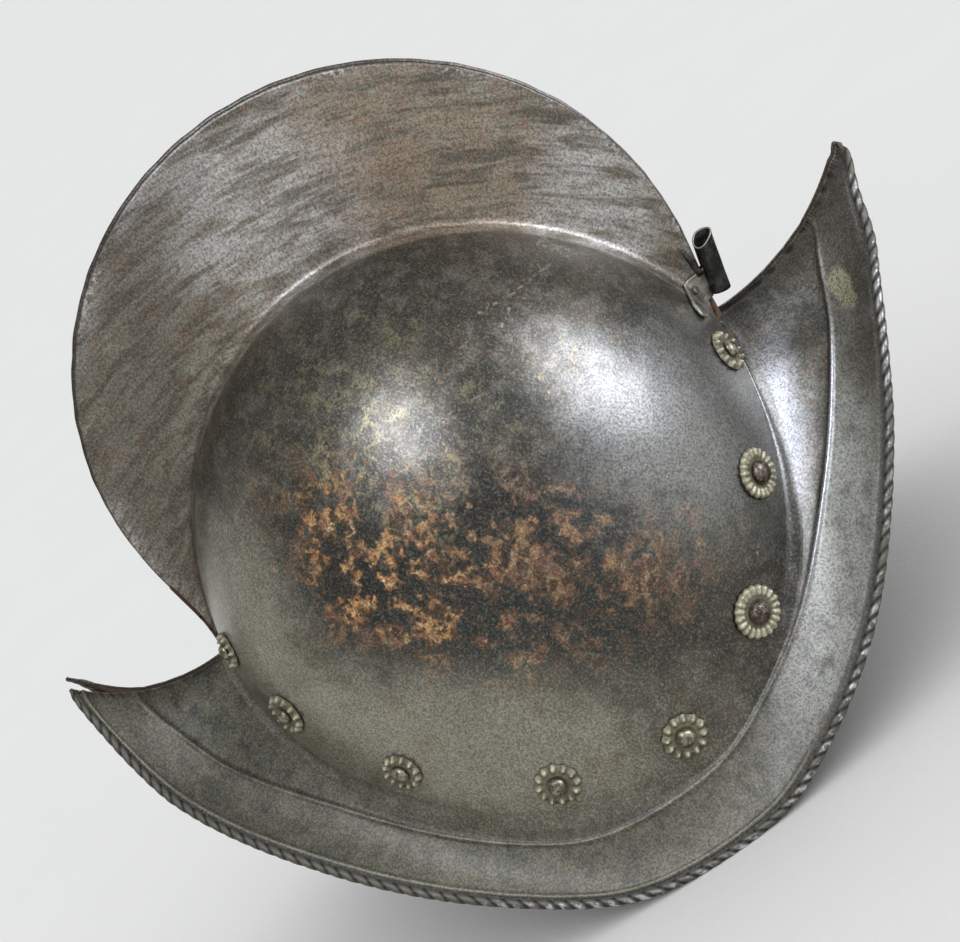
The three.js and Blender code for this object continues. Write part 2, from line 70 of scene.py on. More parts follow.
# Brim
TIP_Y = 178.2
RIM_HALF_WIDTH = 114
RIM_FULLNESS = 0.57
ROPE_RADIUS = 1.8
ROPE_SINK = 0.9
ROPE_PITCH = 5.8
ROPE_STRANDS = 2
ROPE_DEPTH = 0.42
RIB_HEIGHT = 0.6
RIB_WIDTH = 0.9
EDGE_GROOVE = 3.9
EDGE_LINE = 5.4

# The back peak ends bluntly: how far its corner stands out beside the seam
BLUNT_AT = 6
BLUNT_WIDE = 7
BLUNT_BACK = 3.4
BLUNT_UP = 2.2
SEAM_UP = 2.6

# The two halves have sprung apart at the front peak, and the right one stands proud at the seam
SPRUNG_UP = 4.4
SPRUNG_LENGTH = 26
SEAM_PROUD = 1.6

# Sections from front to back: direction round the skull in degrees, height of the skull foot,
# where the rim lies, how far in the raised line runs, and the hollow of the brim
SECTIONS = [
    {"angle": -90, "foot_z": FOOT_END_Z, "rim_y": -TIP_Y, "rim_z": 156, "rib": 25, "sag": 17},
    {"angle": -86, "foot_z": 125, "rim_y": -173, "rim_z": 127.5, "rib": 25, "sag": 16},
    {"angle": -80, "foot_z": 116, "rim_y": -165, "rim_z": 108.5, "rib": 25, "sag": 15},
    {"angle": -65, "foot_z": 94, "rim_y": -136, "rim_z": 78, "rib": 25.5, "sag": 12},
    {"angle": -45, "foot_z": 69, "rim_y": -95, "rim_z": 42, "rib": 26.5, "sag": 9},
    {"angle": -22, "foot_z": 43, "rim_y": -46, "rim_z": 10, "rib": 28, "sag": 6},
    {"angle": -10, "foot_z": 35, "rim_y": -20, "rim_z": 1.6, "rib": 28.5, "sag": 4.5},
    {"angle": 10, "foot_z": 30.5, "rim_y": 22, "rim_z": 0.9, "rib": 29, "sag": 4.5},
    {"angle": 22, "foot_z": 34.5, "rim_y": 46, "rim_z": 8, "rib": 29.5, "sag": 6},
    {"angle": 45, "foot_z": 55.5, "rim_y": 92, "rim_z": 36, "rib": 30, "sag": 9},
    {"angle": 65, "foot_z": 85, "rim_y": 134, "rim_z": 80, "rib": 30, "sag": 12},
    {"angle": 80, "foot_z": 112, "rim_y": 165, "rim_z": 125, "rib": 30, "sag": 15},
    {"angle": 86, "foot_z": 123, "rim_y": 173, "rim_z": 137, "rib": 30, "sag": 16},
    {"angle": 90, "foot_z": FOOT_END_Z, "rim_y": TIP_Y, "rim_z": 156, "rib": 30, "sag": 17},
]

# Rosettes from front to back, and the kind of each
ROSETTES = [
    {"y": -112, "z": 141.3, "radius": 7.6, "rivet": 3.2, "kind": "beads"},
    {"y": -104, "z": 116.8, "radius": 8.8, "rivet": 3.4, "kind": "beads"},
    {"y": -78.3, "z": 82.7, "radius": 8.2, "rivet": 3.4, "kind": "beads"},
    {"y": -32.8, "z": 52.7, "radius": 9, "rivet": 3.6, "kind": "beads"},
    {"y": 14.3, "z": 41, "radius": 9, "rivet": 3.6, "kind": "beads"},
    {"y": 60.1, "z": 58.1, "radius": 10.3, "rivet": 4.4, "kind": "petals"},
    {"y": 87.8, "z": 93, "radius": 9.8, "rivet": 4.4, "kind": "petals"},
    {"y": 103.5, "z": 126.4, "radius": 8.6, "rivet": 3.4, "kind": "beads"},
]
ROSETTE_HEIGHT = 2
ROSETTE_SEAT = 1.1
ROSETTE_CROWN = 0.74
SHANK_RADIUS = 1.25
TAIL_RADIUS = 2.3
PIECE_GAP = 0.3

# Plume holder
TUBE_RADIUS = 4.05
TUBE_BORE = 3.5
TUBE_LOW = (0, 114.4, 138)
TUBE_TOP = (0, 120.2, 161.2)
MOUTH_SLANT = 4.6
MOUTH_LOW_AT = math.radians(-45)
TONGUE_ROOT = (2.9, 111.6, 148)
TONGUE_END = (3.6, 110.9, 160.6)
PLATE_STAND = 0.7
PLATE_THICKNESS = 0.8

SECTION_COUNT = 300

# The comb was brushed in wide arcs round this point of the side view
STROKE_CENTRE = (-35, 63)


def read_column(key, angle):
    """A column of the section table as a smooth curve through its rows"""
    rows = SECTIONS
    i = 0
    while i < len(rows) - 2 and angle > rows[i + 1]["angle"]:
        i += 1

    def slope(k):
        a = max(0, k - 1)
        b = min(len(rows) - 1, k + 1)
        return (rows[b][key] - rows[a][key]) / (rows[b]["angle"] - rows[a]["angle"])

    span = rows[i + 1]["angle"] - rows[i]["angle"]
    t = (angle - rows[i]["angle"]) / span
    low = rows[i][key] * (1 + 2 * t) * (1 - t) ** 2 + slope(i) * span * t * (1 - t) ** 2
    high = rows[i + 1][key] * t * t * (3 - 2 * t) - slope(i + 1) * span * t * t * (1 - t)
    return low + high


def skull_half_width(y, z):
    along = (y - SKULL_CENTRE_Y) / SKULL_HALF_LENGTH
    above = np.maximum(0, z - SKULL_SPRING_Z) / SKULL_DOME_HEIGHT
    left = 1 - along ** 2 - above ** 2
    return SKULL_HALF_WIDTH * np.sign(left) * np.sqrt(np.abs(left))


def comb_radius(angle):
    end_angle = np.where(angle < 0, COMB_FRONT["angle"], COMB_BACK["angle"])
    flare = np.where(angle < 0, COMB_FRONT["flare"], COMB_BACK["flare"])
    past = np.maximum(0, np.abs(angle) - COMB_FLARE_FROM) / (end_angle - COMB_FLARE_FROM)
    return COMB_RADIUS + flare * past ** 2


def comb_depth(y, z):
    """How far a point of the side view lies below the crest"""
    angle = np.degrees(np.arctan2(y - COMB_CENTRE_Y, z - COMB_CENTRE_Z))
    return comb_radius(angle) - np.hypot(y - COMB_CENTRE_Y, z - COMB_CENTRE_Z)


def comb_half_width(y, z):
    return SEAM_X + WALL + COMB_TAPER * np.maximum(0, comb_depth(y, z))


def half_width(y, z):
    skull = skull_half_width(y, z)
    comb = comb_half_width(y, z)
    near = np.maximum(0, COMB_FILLET - np.abs(skull - comb)) / COMB_FILLET
    return np.maximum(skull, comb) + near ** 2 * COMB_FILLET / 4


def is_tip(angle):
    return abs(angle) > 89.99


def foot_point(angle):
    y = SKULL_CENTRE_Y + FOOT_HALF_LENGTH * math.sin(math.radians(angle))
    z = read_column("foot_z", angle)
    x = SEAM_X if is_tip(angle) else max(SEAM_X, float(skull_half_width(y, z)))
    return np.array([x, y, z])


def rim_point(angle):
    y = read_column("rim_y", angle)
    end = max(0.0, 1 - (y / TIP_Y) ** 2)
    x = max(SEAM_X, RIM_HALF_WIDTH * end ** RIM_FULLNESS)
    z = read_column("rim_z", angle)
    if angle > 0:
        corner = math.exp(-((x - BLUNT_AT) / BLUNT_WIDE) ** 2)
        return np.array([x, y + BLUNT_BACK * corner, z + BLUNT_UP * corner + SEAM_UP * math.exp(-x / 3)])
    return np.array([x, y, z])


def crest_point(angle, proud):
    end = COMB_FRONT if angle < 0 else COMB_BACK
    turn = math.radians(angle / 90 * end["angle"])
    radius = float(comb_radius(math.degrees(turn))) + proud * (1 - abs(angle / 90) ** 3)
    return COMB_CENTRE_Y + radius * math.sin(turn), COMB_CENTRE_Z + radius * math.cos(turn)


def brim_line(angle, steps=240):
    """The brim of one section from the rim to the skull foot, with the distance run from the rim"""
    foot = foot_point(angle)
    rim = rim_point(angle)
    across = rim - foot
    out = np.array([across[0], across[1], 0.0])
    reach = np.linalg.norm(out)
    out /= reach
    droop = out * across[2]
    droop[2] = -reach
    droop *= read_column("sag", angle) / np.linalg.norm(droop)
    middle = (foot + rim) / 2 + droop
    t = np.linspace(0, 1, steps)[:, None]
    line = (1 - t) ** 2 * rim + 2 * t * (1 - t) * middle + t * t * foot
    run = np.concatenate([[0], np.cumsum(np.linalg.norm(np.diff(line, axis=0), axis=1))])
    return line, run


def at_distance(line, run, distances):
    return np.stack([np.interp(distances, run, line[:, k]) for k in range(3)], axis=1)


def spread(start, end, count):
    """Evenly spaced values from start up to, but not including, end"""
    return np.linspace(start, end, count, endpoint=False)


def junction_at(foot, crest):
    """How far up a section the skull gives way to the comb"""
    low, high = 0.0, 1.0
    for _ in range(30):
        m = (low + high) / 2
        y = foot[1] + (crest[0] - foot[1]) * m
        z = foot[2] + (crest[1] - foot[2]) * m
        if skull_half_width(y, z) > comb_half_width(y, z):
            low = m
        else:
            high = m
    return low


# Rows of one section, counted from the rim upwards
EDGE_IN = 1.6
ROWS_EDGE = 20
ROWS_OUTER = 8
ROWS_RIB = 20
ROWS_INNER = 12
ROWS_FILLET = 6
ROWS_SKULL = 60
ROWS_COMB = 46
EDGE_ZONE = 10.5
RIB_ZONE = 4


def section_rows(angle, proud):
    """Outer skin of one section and its distance from the rim"""
    line, run = brim_line(angle)
    foot = foot_point(angle)
    crest = crest_point(angle, proud)
    rib = read_column("rib", angle)
    top = run[-1] - FOOT_FILLET
    rib_end = rib + min(RIB_ZONE, max(0.4, 0.6 * (top - rib)))
    top = max(top, rib_end + 0.4)
    distances = np.concatenate([
        spread(EDGE_IN, EDGE_ZONE, ROWS_EDGE),
        spread(EDGE_ZONE, rib - RIB_ZONE, ROWS_OUTER),
        spread(rib - RIB_ZONE, rib_end, ROWS_RIB),
        spread(rib_end, top, ROWS_INNER),
        [top],
    ])
    brim = at_distance(line, run, distances)
    rise = math.hypot(crest[0] - foot[1], crest[1] - foot[2])
    start = 0.0 if is_tip(angle) else min(FOOT_FILLET, 0.3 * rise) / rise

    def skin(t):
        y = foot[1] + (crest[0] - foot[1]) * t
        z = foot[2] + (crest[1] - foot[2]) * t
        if is_tip(angle):
            return np.repeat(foot[None], len(t), axis=0)
        return np.stack([half_width(y, z), y, z], axis=1)

    begin = skin(np.array([start]))[0]
    s = np.linspace(0, 1, ROWS_FILLET + 2)[1:-1, None]
    fillet = (1 - s) ** 2 * brim[-1] + 2 * s * (1 - s) * foot + s * s * begin
    join = 0.0 if is_tip(angle) else max(start + 0.02, junction_at(foot, crest))
    up = np.linspace(0, 1, ROWS_SKULL)
    skull = skin(start + (join - start) * (1 - (1 - up) ** 1.35))
    comb = skin(join + (1 - join) * np.linspace(0, 1, ROWS_COMB)[1:])
    rows = np.concatenate([brim, fillet, skull, comb])
    beyond = np.full(len(rows) - len(brim), 200.0)
    zone = np.concatenate([
        np.zeros(len(brim)), np.ones(ROWS_FILLET), 2 + 0.99 * up, np.full(ROWS_COMB - 1, 3.0)])
    return rows, np.concatenate([distances, beyond]), np.full(len(rows), rib), zone


def section_angles():
    w = np.linspace(-1, 1, SECTION_COUNT + 1)
    angles = 90 * (0.42 * w + 0.58 * np.sin(w * math.pi / 2))
    angles[0], angles[-1] = -90, 90
    return angles


def grid_normals(grid):
    along = np.gradient(grid, axis=0)
    upward = np.gradient(grid, axis=1)
    normal = np.cross(along, upward)
    length = np.linalg.norm(normal, axis=2, keepdims=True)
    return normal / np.maximum(length, 1e-9)


def bump_field(points, scale, seed):
    """Smooth noise between -1 and 1 at each point, scale in millimetres"""
    shift = Vector((seed * 7.3, seed * 3.1, seed * 5.7))
    return np.array([noise.noise(Vector(p) / scale + shift) for p in points])


def smooth_step(value, low, high):
    t = np.clip((value - low) / (high - low), 0, 1)
    return t * t * (3 - 2 * t)


def hammering(points, seed):
    """Shallow unevenness left by the hammer, in millimetres"""
    broad = bump_field(points, 34, seed)
    small = bump_field(points, 13, seed + 1)
    return 0.34 * broad + 0.13 * small


def ridge(distance, centre, width):
    return np.exp(-((distance - centre) / width) ** 2)


def mesh_object(name, points, faces, material, layers=None):
    mesh = bpy.data.meshes.new(name)
    mesh.from_pydata([tuple(p) for p in np.asarray(points) * MM], [], faces)
    mesh.validate()
    mesh.polygons.foreach_set("use_smooth", [True] * len(mesh.polygons))
    for key, values in (layers or {}).items():
        layer = mesh.attributes.new(key, "FLOAT", "POINT")
        layer.data.foreach_set("value", np.asarray(values, dtype=np.float32))
    obj = bpy.data.objects.new(name, mesh)
    bpy.context.scene.collection.objects.link(obj)
    obj.data.materials.append(material)
    return obj


def grid_faces(columns, rows, start=0, flip=False):
    faces = []
    for c in range(columns - 1):
        for r in range(rows - 1):
            a = start + c * rows + r
            face = (a, a + rows, a + rows + 1, a + 1)
            faces.append(face[::-1] if flip else face)
    return faces


def crest_wear(angles):
    """Small ups and downs of the filed crest edge, in millimetres"""
    places = [(a / 3.1, 0.0, 0.0) for a in angles]
    return np.array([0.35 * noise.noise(Vector(p)) for p in places])


def sprung(points):
    """The right half lifted at the front peak and standing a little proud along the seam of the brim"""
    y, z = points[:, 1], points[:, 2]
    seam = np.exp(-points[:, 0] / 3.0)
    tip = smooth_step(-y, TIP_Y - SPRUNG_LENGTH, TIP_Y + 2) ** 1.4
    wide = np.exp(-points[:, 0] / 22.0)
    on_peak = smooth_step(np.abs(y - SKULL_CENTRE_Y), FOOT_HALF_LENGTH - 2, FOOT_HALF_LENGTH + 8)
    low = smooth_step(comb_depth(y, z), 4, -4)
    up = SPRUNG_UP * tip * wide + SEAM_PROUD * seam * on_peak * low * (1 - 0.6 * tip)
    lean = np.where(y < 0, 0.38, -0.62)
    points[:, 1] += up * lean
    points[:, 2] += up * np.sqrt(1 - lean ** 2)
    return points


def half_sheet(name, side, material):
    """One forged half of the helmet: outer skin, inner skin and the edges between them"""
    proud = RIGHT_CREST_PROUD if side < 0 else 0
    angles = section_angles()
    made = [section_rows(a, proud) for a in angles]
    grid = np.stack([m[0] for m in made])
    from_rim = np.stack([m[1] for m in made])
    from_rib = from_rim - np.stack([m[2] for m in made])
    zone = np.stack([m[3] for m in made]).reshape(-1)
    columns, rows, _ = grid.shape
    normals = grid_normals(grid)
    normals[0] = normals[1]
    normals[-1] = normals[-2]

    flat = grid.reshape(-1, 3)
    depth = comb_depth(flat[:, 1], flat[:, 2])
    on_brim = from_rim.reshape(-1) < 150
    uneven = hammering(flat * np.array([side, 1, 1]), 3 if side > 0 else 9)
    calm = np.where(on_brim, 0.6, 1.0) * smooth_step(np.where(on_brim, 30.0, depth), 0, 14)
    seam = smooth_step(flat[:, 0], 0.2, 2.5)
    lift = uneven * calm * seam
    distance = from_rim.reshape(-1)
    rib = from_rib.reshape(-1)
    near_tip = np.minimum(1, (90 - np.abs(np.repeat(angles, rows))) / 5)
    lift += RIB_HEIGHT * ridge(rib, 0, RIB_WIDTH) * near_tip
    lift -= 0.25 * smooth_step(rib, 0.4, 3) * on_brim * smooth_step(-rib, -14, -3)
    back = smooth_step(np.repeat(angles, rows), 10, 60)
    lift += 0.55 * (1 - back) * ridge(distance, EDGE_LINE, 0.85)
    lift -= (0.45 + 0.25 * back) * ridge(distance, EDGE_GROOVE + 0.9 * back, 0.5 + 1.1 * back)
    outer = flat + normals.reshape(-1, 3) * lift[:, None]
    outer[:, 0] = np.maximum(outer[:, 0], SEAM_X)

    bend = rows - ROWS_COMB
    close = set(range(ROWS_EDGE + ROWS_OUTER + ROWS_RIB + 8, rows - ROWS_COMB - ROWS_SKULL + 8))
    close |= set(range(bend - 12, bend + 8))
    thin = np.array(sorted(close | set(range(0, rows, 3)) | {rows - 1}))
    near_end = np.clip((90 - np.abs(angles)) / 1.5, 0.12, 1)[:, None]
    wall = WALL * np.where(zone.reshape(columns, rows)[:, thin] < 1, 1, near_end)
    inward_lift = lift.reshape(columns, rows)[:, thin] - wall
    inner_base = grid[:, thin] + normals[:, thin] * inward_lift[..., None]
    inner_base[..., 0] = np.maximum(inner_base[..., 0], SEAM_X)
    toward = np.array([0, COMB_CENTRE_Y, COMB_CENTRE_Z])
    crest = grid[:, -1]
    inward = toward - crest * np.array([0, 1, 1])
    inward /= np.linalg.norm(inward, axis=1, keepdims=True)
    inner_base[:, -1] = crest + inward * np.minimum(3, 0.02 * depth.reshape(columns, rows)[:, -2:-1] + 2)
    inner_base[:, -1, 0] = SEAM_X
    inner_base[0, :, 0] = SEAM_X
    inner_base[-1, :, 0] = SEAM_X
    inner = inner_base.reshape(-1, 3)

    edge = grid[:, -1].copy()
    wear = crest_wear(angles) * np.minimum(1, (90 - np.abs(angles)) / 10)
    edge[:, 1:] -= inward[:, 1:] * wear[:, None]
    outer.reshape(columns, rows, 3)[:, -1, 1:] -= inward[:, 1:] * (wear[:, None] - 0.25)
    edge[:, 0] = SEAM_X

    points = np.concatenate([outer, inner, edge])
    if side < 0:
        points = sprung(points)
    first_inner = len(outer)
    first_edge = first_inner + len(inner)
    inner_rows = len(thin)
    faces = grid_faces(columns, rows)
    faces += grid_faces(columns, inner_rows, first_inner, flip=True)
    for c in range(columns - 1):
        top, lip = c * rows + rows - 1, first_edge + c
        inner_top = first_inner + c * inner_rows + inner_rows - 1
        faces.append((top, top + rows, lip + 1, lip))
        faces.append((lip, lip + 1, inner_top + inner_rows, inner_top))
        foot, inner_foot = c * rows, first_inner + c * inner_rows
        faces.append((inner_foot, inner_foot + inner_rows, foot + rows, foot))
    for c, flip in ((0, False), (columns - 1, True)):
        for k in range(inner_rows - 1):
            a, b = c * rows + thin[k], c * rows + thin[k + 1]
            p, q = first_inner + c * inner_rows + k, first_inner + c * inner_rows + k + 1
            face = (int(a), int(b), int(q), int(p))
            faces.append(face[::-1] if flip else face)
    points[:, 2] = np.maximum(points[:, 2], 0)
    points[:, 0] *= side
    if side < 0:
        faces = [f[::-1] for f in faces]

    inside = np.concatenate([np.zeros(first_inner), np.ones(len(inner)), np.zeros(len(edge))])
    thin_flat = (np.arange(columns)[:, None] * rows + thin[None]).reshape(-1)
    edge_flat = np.arange(columns) * rows + rows - 1
    pick = np.concatenate([np.arange(first_inner), thin_flat, edge_flat])
    gap = skull_half_width(flat[:, 1], flat[:, 2]) - comb_half_width(flat[:, 1], flat[:, 2])
    below_skull = np.where(zone < 3, np.maximum(gap, 40 * (3 - zone)), gap)
    layers = {
        "from_rim": distance[pick],
        "from_rib": rib[pick],
        "below_crest": np.where(zone < 3, 100.0, depth)[pick],
        "over_comb": np.where(zone < 2, 100.0, below_skull)[pick],
        "inside": inside,
    }
    return mesh_object(name, points, faces, material, layers)


def rope_edge(name, side, material):
    """The turned and roped edge of one half, as a twisted tube along the rim"""
    angles = section_angles()
    rims, outs, ups = [], [], []
    for angle in angles:
        line, run = brim_line(angle)
        start = line[0]
        inward = at_distance(line, run, np.array([2.0]))[0] - start
        rims.append(start)
        outs.append(-inward / np.linalg.norm(inward))
    rims = np.array(rims)
    outs = np.array(outs)
    along = np.gradient(rims, axis=0)
    along /= np.linalg.norm(along, axis=1, keepdims=True)
    outs[0, 0] = outs[-1, 0] = 0
    outs -= along * np.sum(outs * along, axis=1, keepdims=True)
    outs /= np.linalg.norm(outs, axis=1, keepdims=True)
    ups = np.cross(along, -outs)
    centres = rims - outs * ROPE_RADIUS - ups * ROPE_SINK
    run = np.concatenate([[0], np.cumsum(np.linalg.norm(np.diff(centres, axis=0), axis=1))])
    steps = int(run[-1] / ROPE_PITCH * 10)
    places = np.linspace(0, run[-1], steps)
    ring = 28
    turn = np.linspace(0, 2 * math.pi, ring, endpoint=False)

    def along_run(values):
        return np.stack([np.interp(places, run, values[:, k]) for k in range(3)], axis=1)

    centre, out, up = along_run(centres), along_run(outs), along_run(ups)
    uneven = np.array([noise.noise(Vector((s / 9, side * 4.0, 0.5))) for s in places])
    phase = 2 * math.pi * (places + 0.8 * uneven) / ROPE_PITCH
    wave = phase[:, None] + ROPE_STRANDS * turn[None]
    crown = np.abs(np.sin(wave / 2)) ** 0.75
    radius = ROPE_RADIUS - ROPE_DEPTH * (1 - crown) + 0.12 * uneven[:, None] * crown
    ends = np.minimum(places, run[-1] - places)
    taper = 0.55 + 0.45 * smooth_step(ends, 0, 22)
    centre = centre + out * ROPE_RADIUS * (1 - taper)[:, None]
    radius = radius * taper[:, None]
    points = centre[:, None] + radius[..., None] * (
        np.cos(turn)[None, :, None] * out[:, None] + np.sin(turn)[None, :, None] * up[:, None])
    points[..., 0] = np.maximum(points[..., 0], SEAM_X)
    points[..., 2] = np.maximum(points[..., 2], 0)
    points = points.reshape(-1, 3)
    if side < 0:
        points = sprung(points)
    faces = []
    for s in range(steps - 1):
        for k in range(ring):
            a = s * ring + k
            b = s * ring + (k + 1) % ring
            faces.append((a, b, b + ring, a + ring))
    faces.append(tuple(range(ring))[::-1])
    faces.append(tuple(range((steps - 1) * ring, steps * ring)))
    points[:, 0] *= side
    if side > 0:
        faces = [f[::-1] for f in faces]
    turned = np.tile(turn, steps)
    return mesh_object(name, points, faces, material, {"crown": crown.reshape(-1), "turn": turned})


def seat_on(spot):
    """Where a rosette sits on the skull, and which way it faces"""
    y, z = spot["y"], spot["z"]
    step = 0.5
    along_y = (half_width(y + step, z) - half_width(y - step, z)) / (2 * step)
    along_z = (half_width(y, z + step) - half_width(y, z - step)) / (2 * step)
    normal = Vector((1, -float(along_y), -float(along_z))).normalized()
    point = Vector((float(half_width(y, z)), y, z))
    return point, normal


def stand_off(spot):
    point, normal = seat_on(spot)
    most = 0
    for i in range(16):
        turn = i * math.pi / 8
        y = spot["y"] + spot["radius"] * math.cos(turn)
        z = spot["z"] + spot["radius"] * math.sin(turn)
        most = max(most, (Vector((float(half_width(y, z)), y, z)) - point).dot(normal))
    return most + PIECE_GAP


def placed(points, spot, side, lift, spin=0.0):
    """Points drawn round the Z axis, seated on the skull and mirrored to their side"""
    point, normal = seat_on(spot)
    turn = Vector((0, 0, 1)).rotation_difference(normal).to_matrix()
    spun = np.asarray(points) @ np.array(Matrix.Rotation(spin, 3, "Z").transposed())
    out = spun @ np.array(turn.transposed()) + np.array(point + normal * lift)
    out[:, 0] *= side
    return out


def closed_disc(radii, heights, sides, underside):
    """Points and faces of a round piece given by rings from the middle outwards, closed underneath"""
    rings = len(radii)
    points = []
    for i in range(rings):
        for k in range(sides):
            turn = 2 * math.pi * k / sides
            r, h = radii[i], heights[i]
            r = r[k] if hasattr(r, "__len__") else r
            h = h[k] if hasattr(h, "__len__") else h
            points.append((r * math.cos(turn), r * math.sin(turn), h))
    faces = []
    for i in range(rings - 1):
        for k in range(sides):
            a, b = i * sides + k, i * sides + (k + 1) % sides
            faces.append((a, a + sides, b + sides, b))
    first = len(points)
    for r, h in underside:
        for k in range(sides):
            turn = 2 * math.pi * k / sides
            points.append((r * math.cos(turn), r * math.sin(turn), h))
    loops = [(rings - 1) * sides] + [first + j * sides for j in range(len(underside))] + [0]
    for lower, upper in zip(loops[:-1], loops[1:]):
        for k in range(sides):
            a, b = k, (k + 1) % sides
            faces.append((lower + a, upper + a, upper + b, lower + b))
    return points, faces


def rosette(name, spot, side, material, seed):
    """An embossed washer: a ring of beads or fine petals round a hollow seat for the rivet"""
    rng = random.Random(seed)
    radius = spot["radius"]
    petals = spot["kind"] == "petals"
    count = 20 if petals else 12
    sides = count * 10
    turns = np.linspace(0, 2 * math.pi, sides, endpoint=False)
    size = [rng.uniform(0.8, 1.12) for _ in range(count)]
    each = np.array([size[int((t / (2 * math.pi) * count + 0.5)) % count] for t in turns])
    wave = 0.5 + 0.5 * np.cos(turns * count)
    radii, heights, crowns = [], [], []
    hole = 1.6
    steps = 26
    for i in range(steps):
        p = i / (steps - 1)
        r = hole + (radius - hole) * p
        base = ROSETTE_SEAT + 0.25 * ridge(r, radius * 0.5, 0.6)
        if petals:
            body = smooth_step(p, 0.42, 0.62) * (1 - smooth_step(p, 0.9, 1.0))
            lobe = (0.35 + 0.65 * wave ** 0.7) * body
            height = base * (1 - 0.75 * smooth_step(p, 0.85, 1)) + 0.95 * lobe * each
            rim = 1 - 0.05 * (1 - wave)
        else:
            body = ridge(r, radius * 0.8, radius * 0.155)
            lobe = body * wave ** 1.3
            height = base * (1 - 0.8 * smooth_step(p, 0.62, 1)) + 1.75 * lobe * each
            rim = 1 - 0.1 * (1 - wave) * each
        radii.append(np.full(sides, r) * np.where(p > 0.6, 1 - (1 - rim) * (p - 0.6) / 0.4, 1))
        heights.append(np.maximum(height, 0.25))
        crowns.append(np.clip(lobe, 0, 1))
    points, faces = closed_disc(radii, heights, sides, [(radius * 0.93, 0.0), (hole, 0.0)])
    seated = placed(points, spot, side, stand_off(spot), rng.uniform(0, 6))
    if side < 0:
        faces = [f[::-1] for f in faces]
    crown = np.concatenate([np.concatenate(crowns), np.zeros(2 * sides)])
    return mesh_object(name, seated, faces, material, {"crown": crown})


def rivet(name, spot, side, material, seed):
    """A domed rivet with its shank and the tail clenched inside"""
    rng = random.Random(seed)
    head = spot["rivet"]
    height = head * 0.7
    part = (head - 1.6) / (spot["radius"] * ROSETTE_CROWN - 1.6)
    seat = ROSETTE_SEAT + (ROSETTE_HEIGHT - ROSETTE_SEAT) * part
    lift = stand_off(spot) + seat + PIECE_GAP
    length = lift + WALL + 0.6
    sides = 40
    radii, heights = [], []
    worn = [rng.uniform(-0.06, 0.06) for _ in range(6)]
    for i in range(12):
        a = math.pi / 2 * (0.03 + 0.97 * i / 11)
        turns = np.linspace(0, 2 * math.pi, sides, endpoint=False)
        lump = 1 + worn[0] * np.cos(2 * turns + worn[1] * 30) + worn[2] * np.cos(3 * turns + worn[3] * 30)
        radii.append(head * 0.98 * math.sin(a) * (1 + (lump - 1) * 0.5))
        heights.append(np.full(sides, height * math.cos(a) ** 0.8))
    under = [(head * 0.9, 0.0), (SHANK_RADIUS, 0.0), (SHANK_RADIUS, -length), (TAIL_RADIUS, -length),
             (TAIL_RADIUS * 0.8, -length - 0.6), (0.05, -length - 0.9)]
    points, faces = closed_disc(radii, heights, sides, under)
    faces = faces[:len(faces) - sides]
    faces += [tuple(range(sides))[::-1], tuple(range(len(points) - sides, len(points)))]
    seated = placed(points, spot, side, lift)
    if side < 0:
        faces = [f[::-1] for f in faces]
    return mesh_object(name, seated, faces, material)


def crest_back(z):
    y = 60.0
    while comb_depth(y, z) > 0:
        y += 0.05
    return y


def plate_line(z, front, stand, steps=22):
    """The outline of the helmet at one level behind the comb, as far round as the plate reaches"""
    back = crest_back(z)
    line = []
    for i in range(steps + 1):
        y = front + (back - 0.4 - front) * (i / steps) ** 0.8
        step = 0.5
        slope = float(half_width(y + step, z) - half_width(y - step, z)) / (2 * step)
        normal = np.array([1.0, -slope, 0.0]) / math.hypot(1, slope)
        line.append(np.array([float(half_width(y, z)), y, z]) + normal * stand)
    behind = back + 0.2 + stand
    line.append(np.array([line[-1][0] * 0.6, behind, z]))
    line.append(np.array([0, behind, z]))
    far = [p * np.array([-1, 1, 1]) for p in line[-2::-1]]
    return line + far


def holder_plate(name, material):
    """The small shield-shaped plate bent round the back of the comb"""
    levels = 18
    outline = [(138.2, 103.9), (141, 102.6), (145, 102.1), (149.5, 103.4)]
    near, far = [], []
    for i in range(levels):
        z = 138.2 + (149.5 - 138.2) * i / (levels - 1)
        front = float(np.interp(z, [o[0] for o in outline], [o[1] for o in outline]))
        near.append(plate_line(z, front, PLATE_STAND))
        far.append(plate_line(z, front, PLATE_STAND + PLATE_THICKNESS))
    count = len(near[0])
    points = [p for line in near for p in line] + [p for line in far for p in line]
    half = levels * count
    faces = []
    edge = np.zeros(2 * half)
    for i in range(levels):
        for k in range(count):
            low = min(i, levels - 1 - i) / (levels - 1) * 11.3
            edge[i * count + k] = edge[half + i * count + k] = min(low, min(k, count - 1 - k) * 0.75)
    for i in range(levels - 1):
        for k in range(count - 1):
            a = i * count + k
            faces.append((a, a + count, a + count + 1, a + 1))
            b = half + a
            faces.append((b, b + 1, b + count + 1, b + count))
        a, b = i * count, half + i * count
        faces.append((a, b, b + count, a + count))
        a, b = a + count - 1, b + count - 1
        faces.append((b, a, a + count, b + count))
    for k in range(count - 1):
        a, b = k, half + k
        faces.append((a, a + 1, b + 1, b))
        a, b = (levels - 1) * count + k, half + (levels - 1) * count + k
        faces.append((b, b + 1, a + 1, a))
    return mesh_object(name, points, faces, material, {"edge": edge})


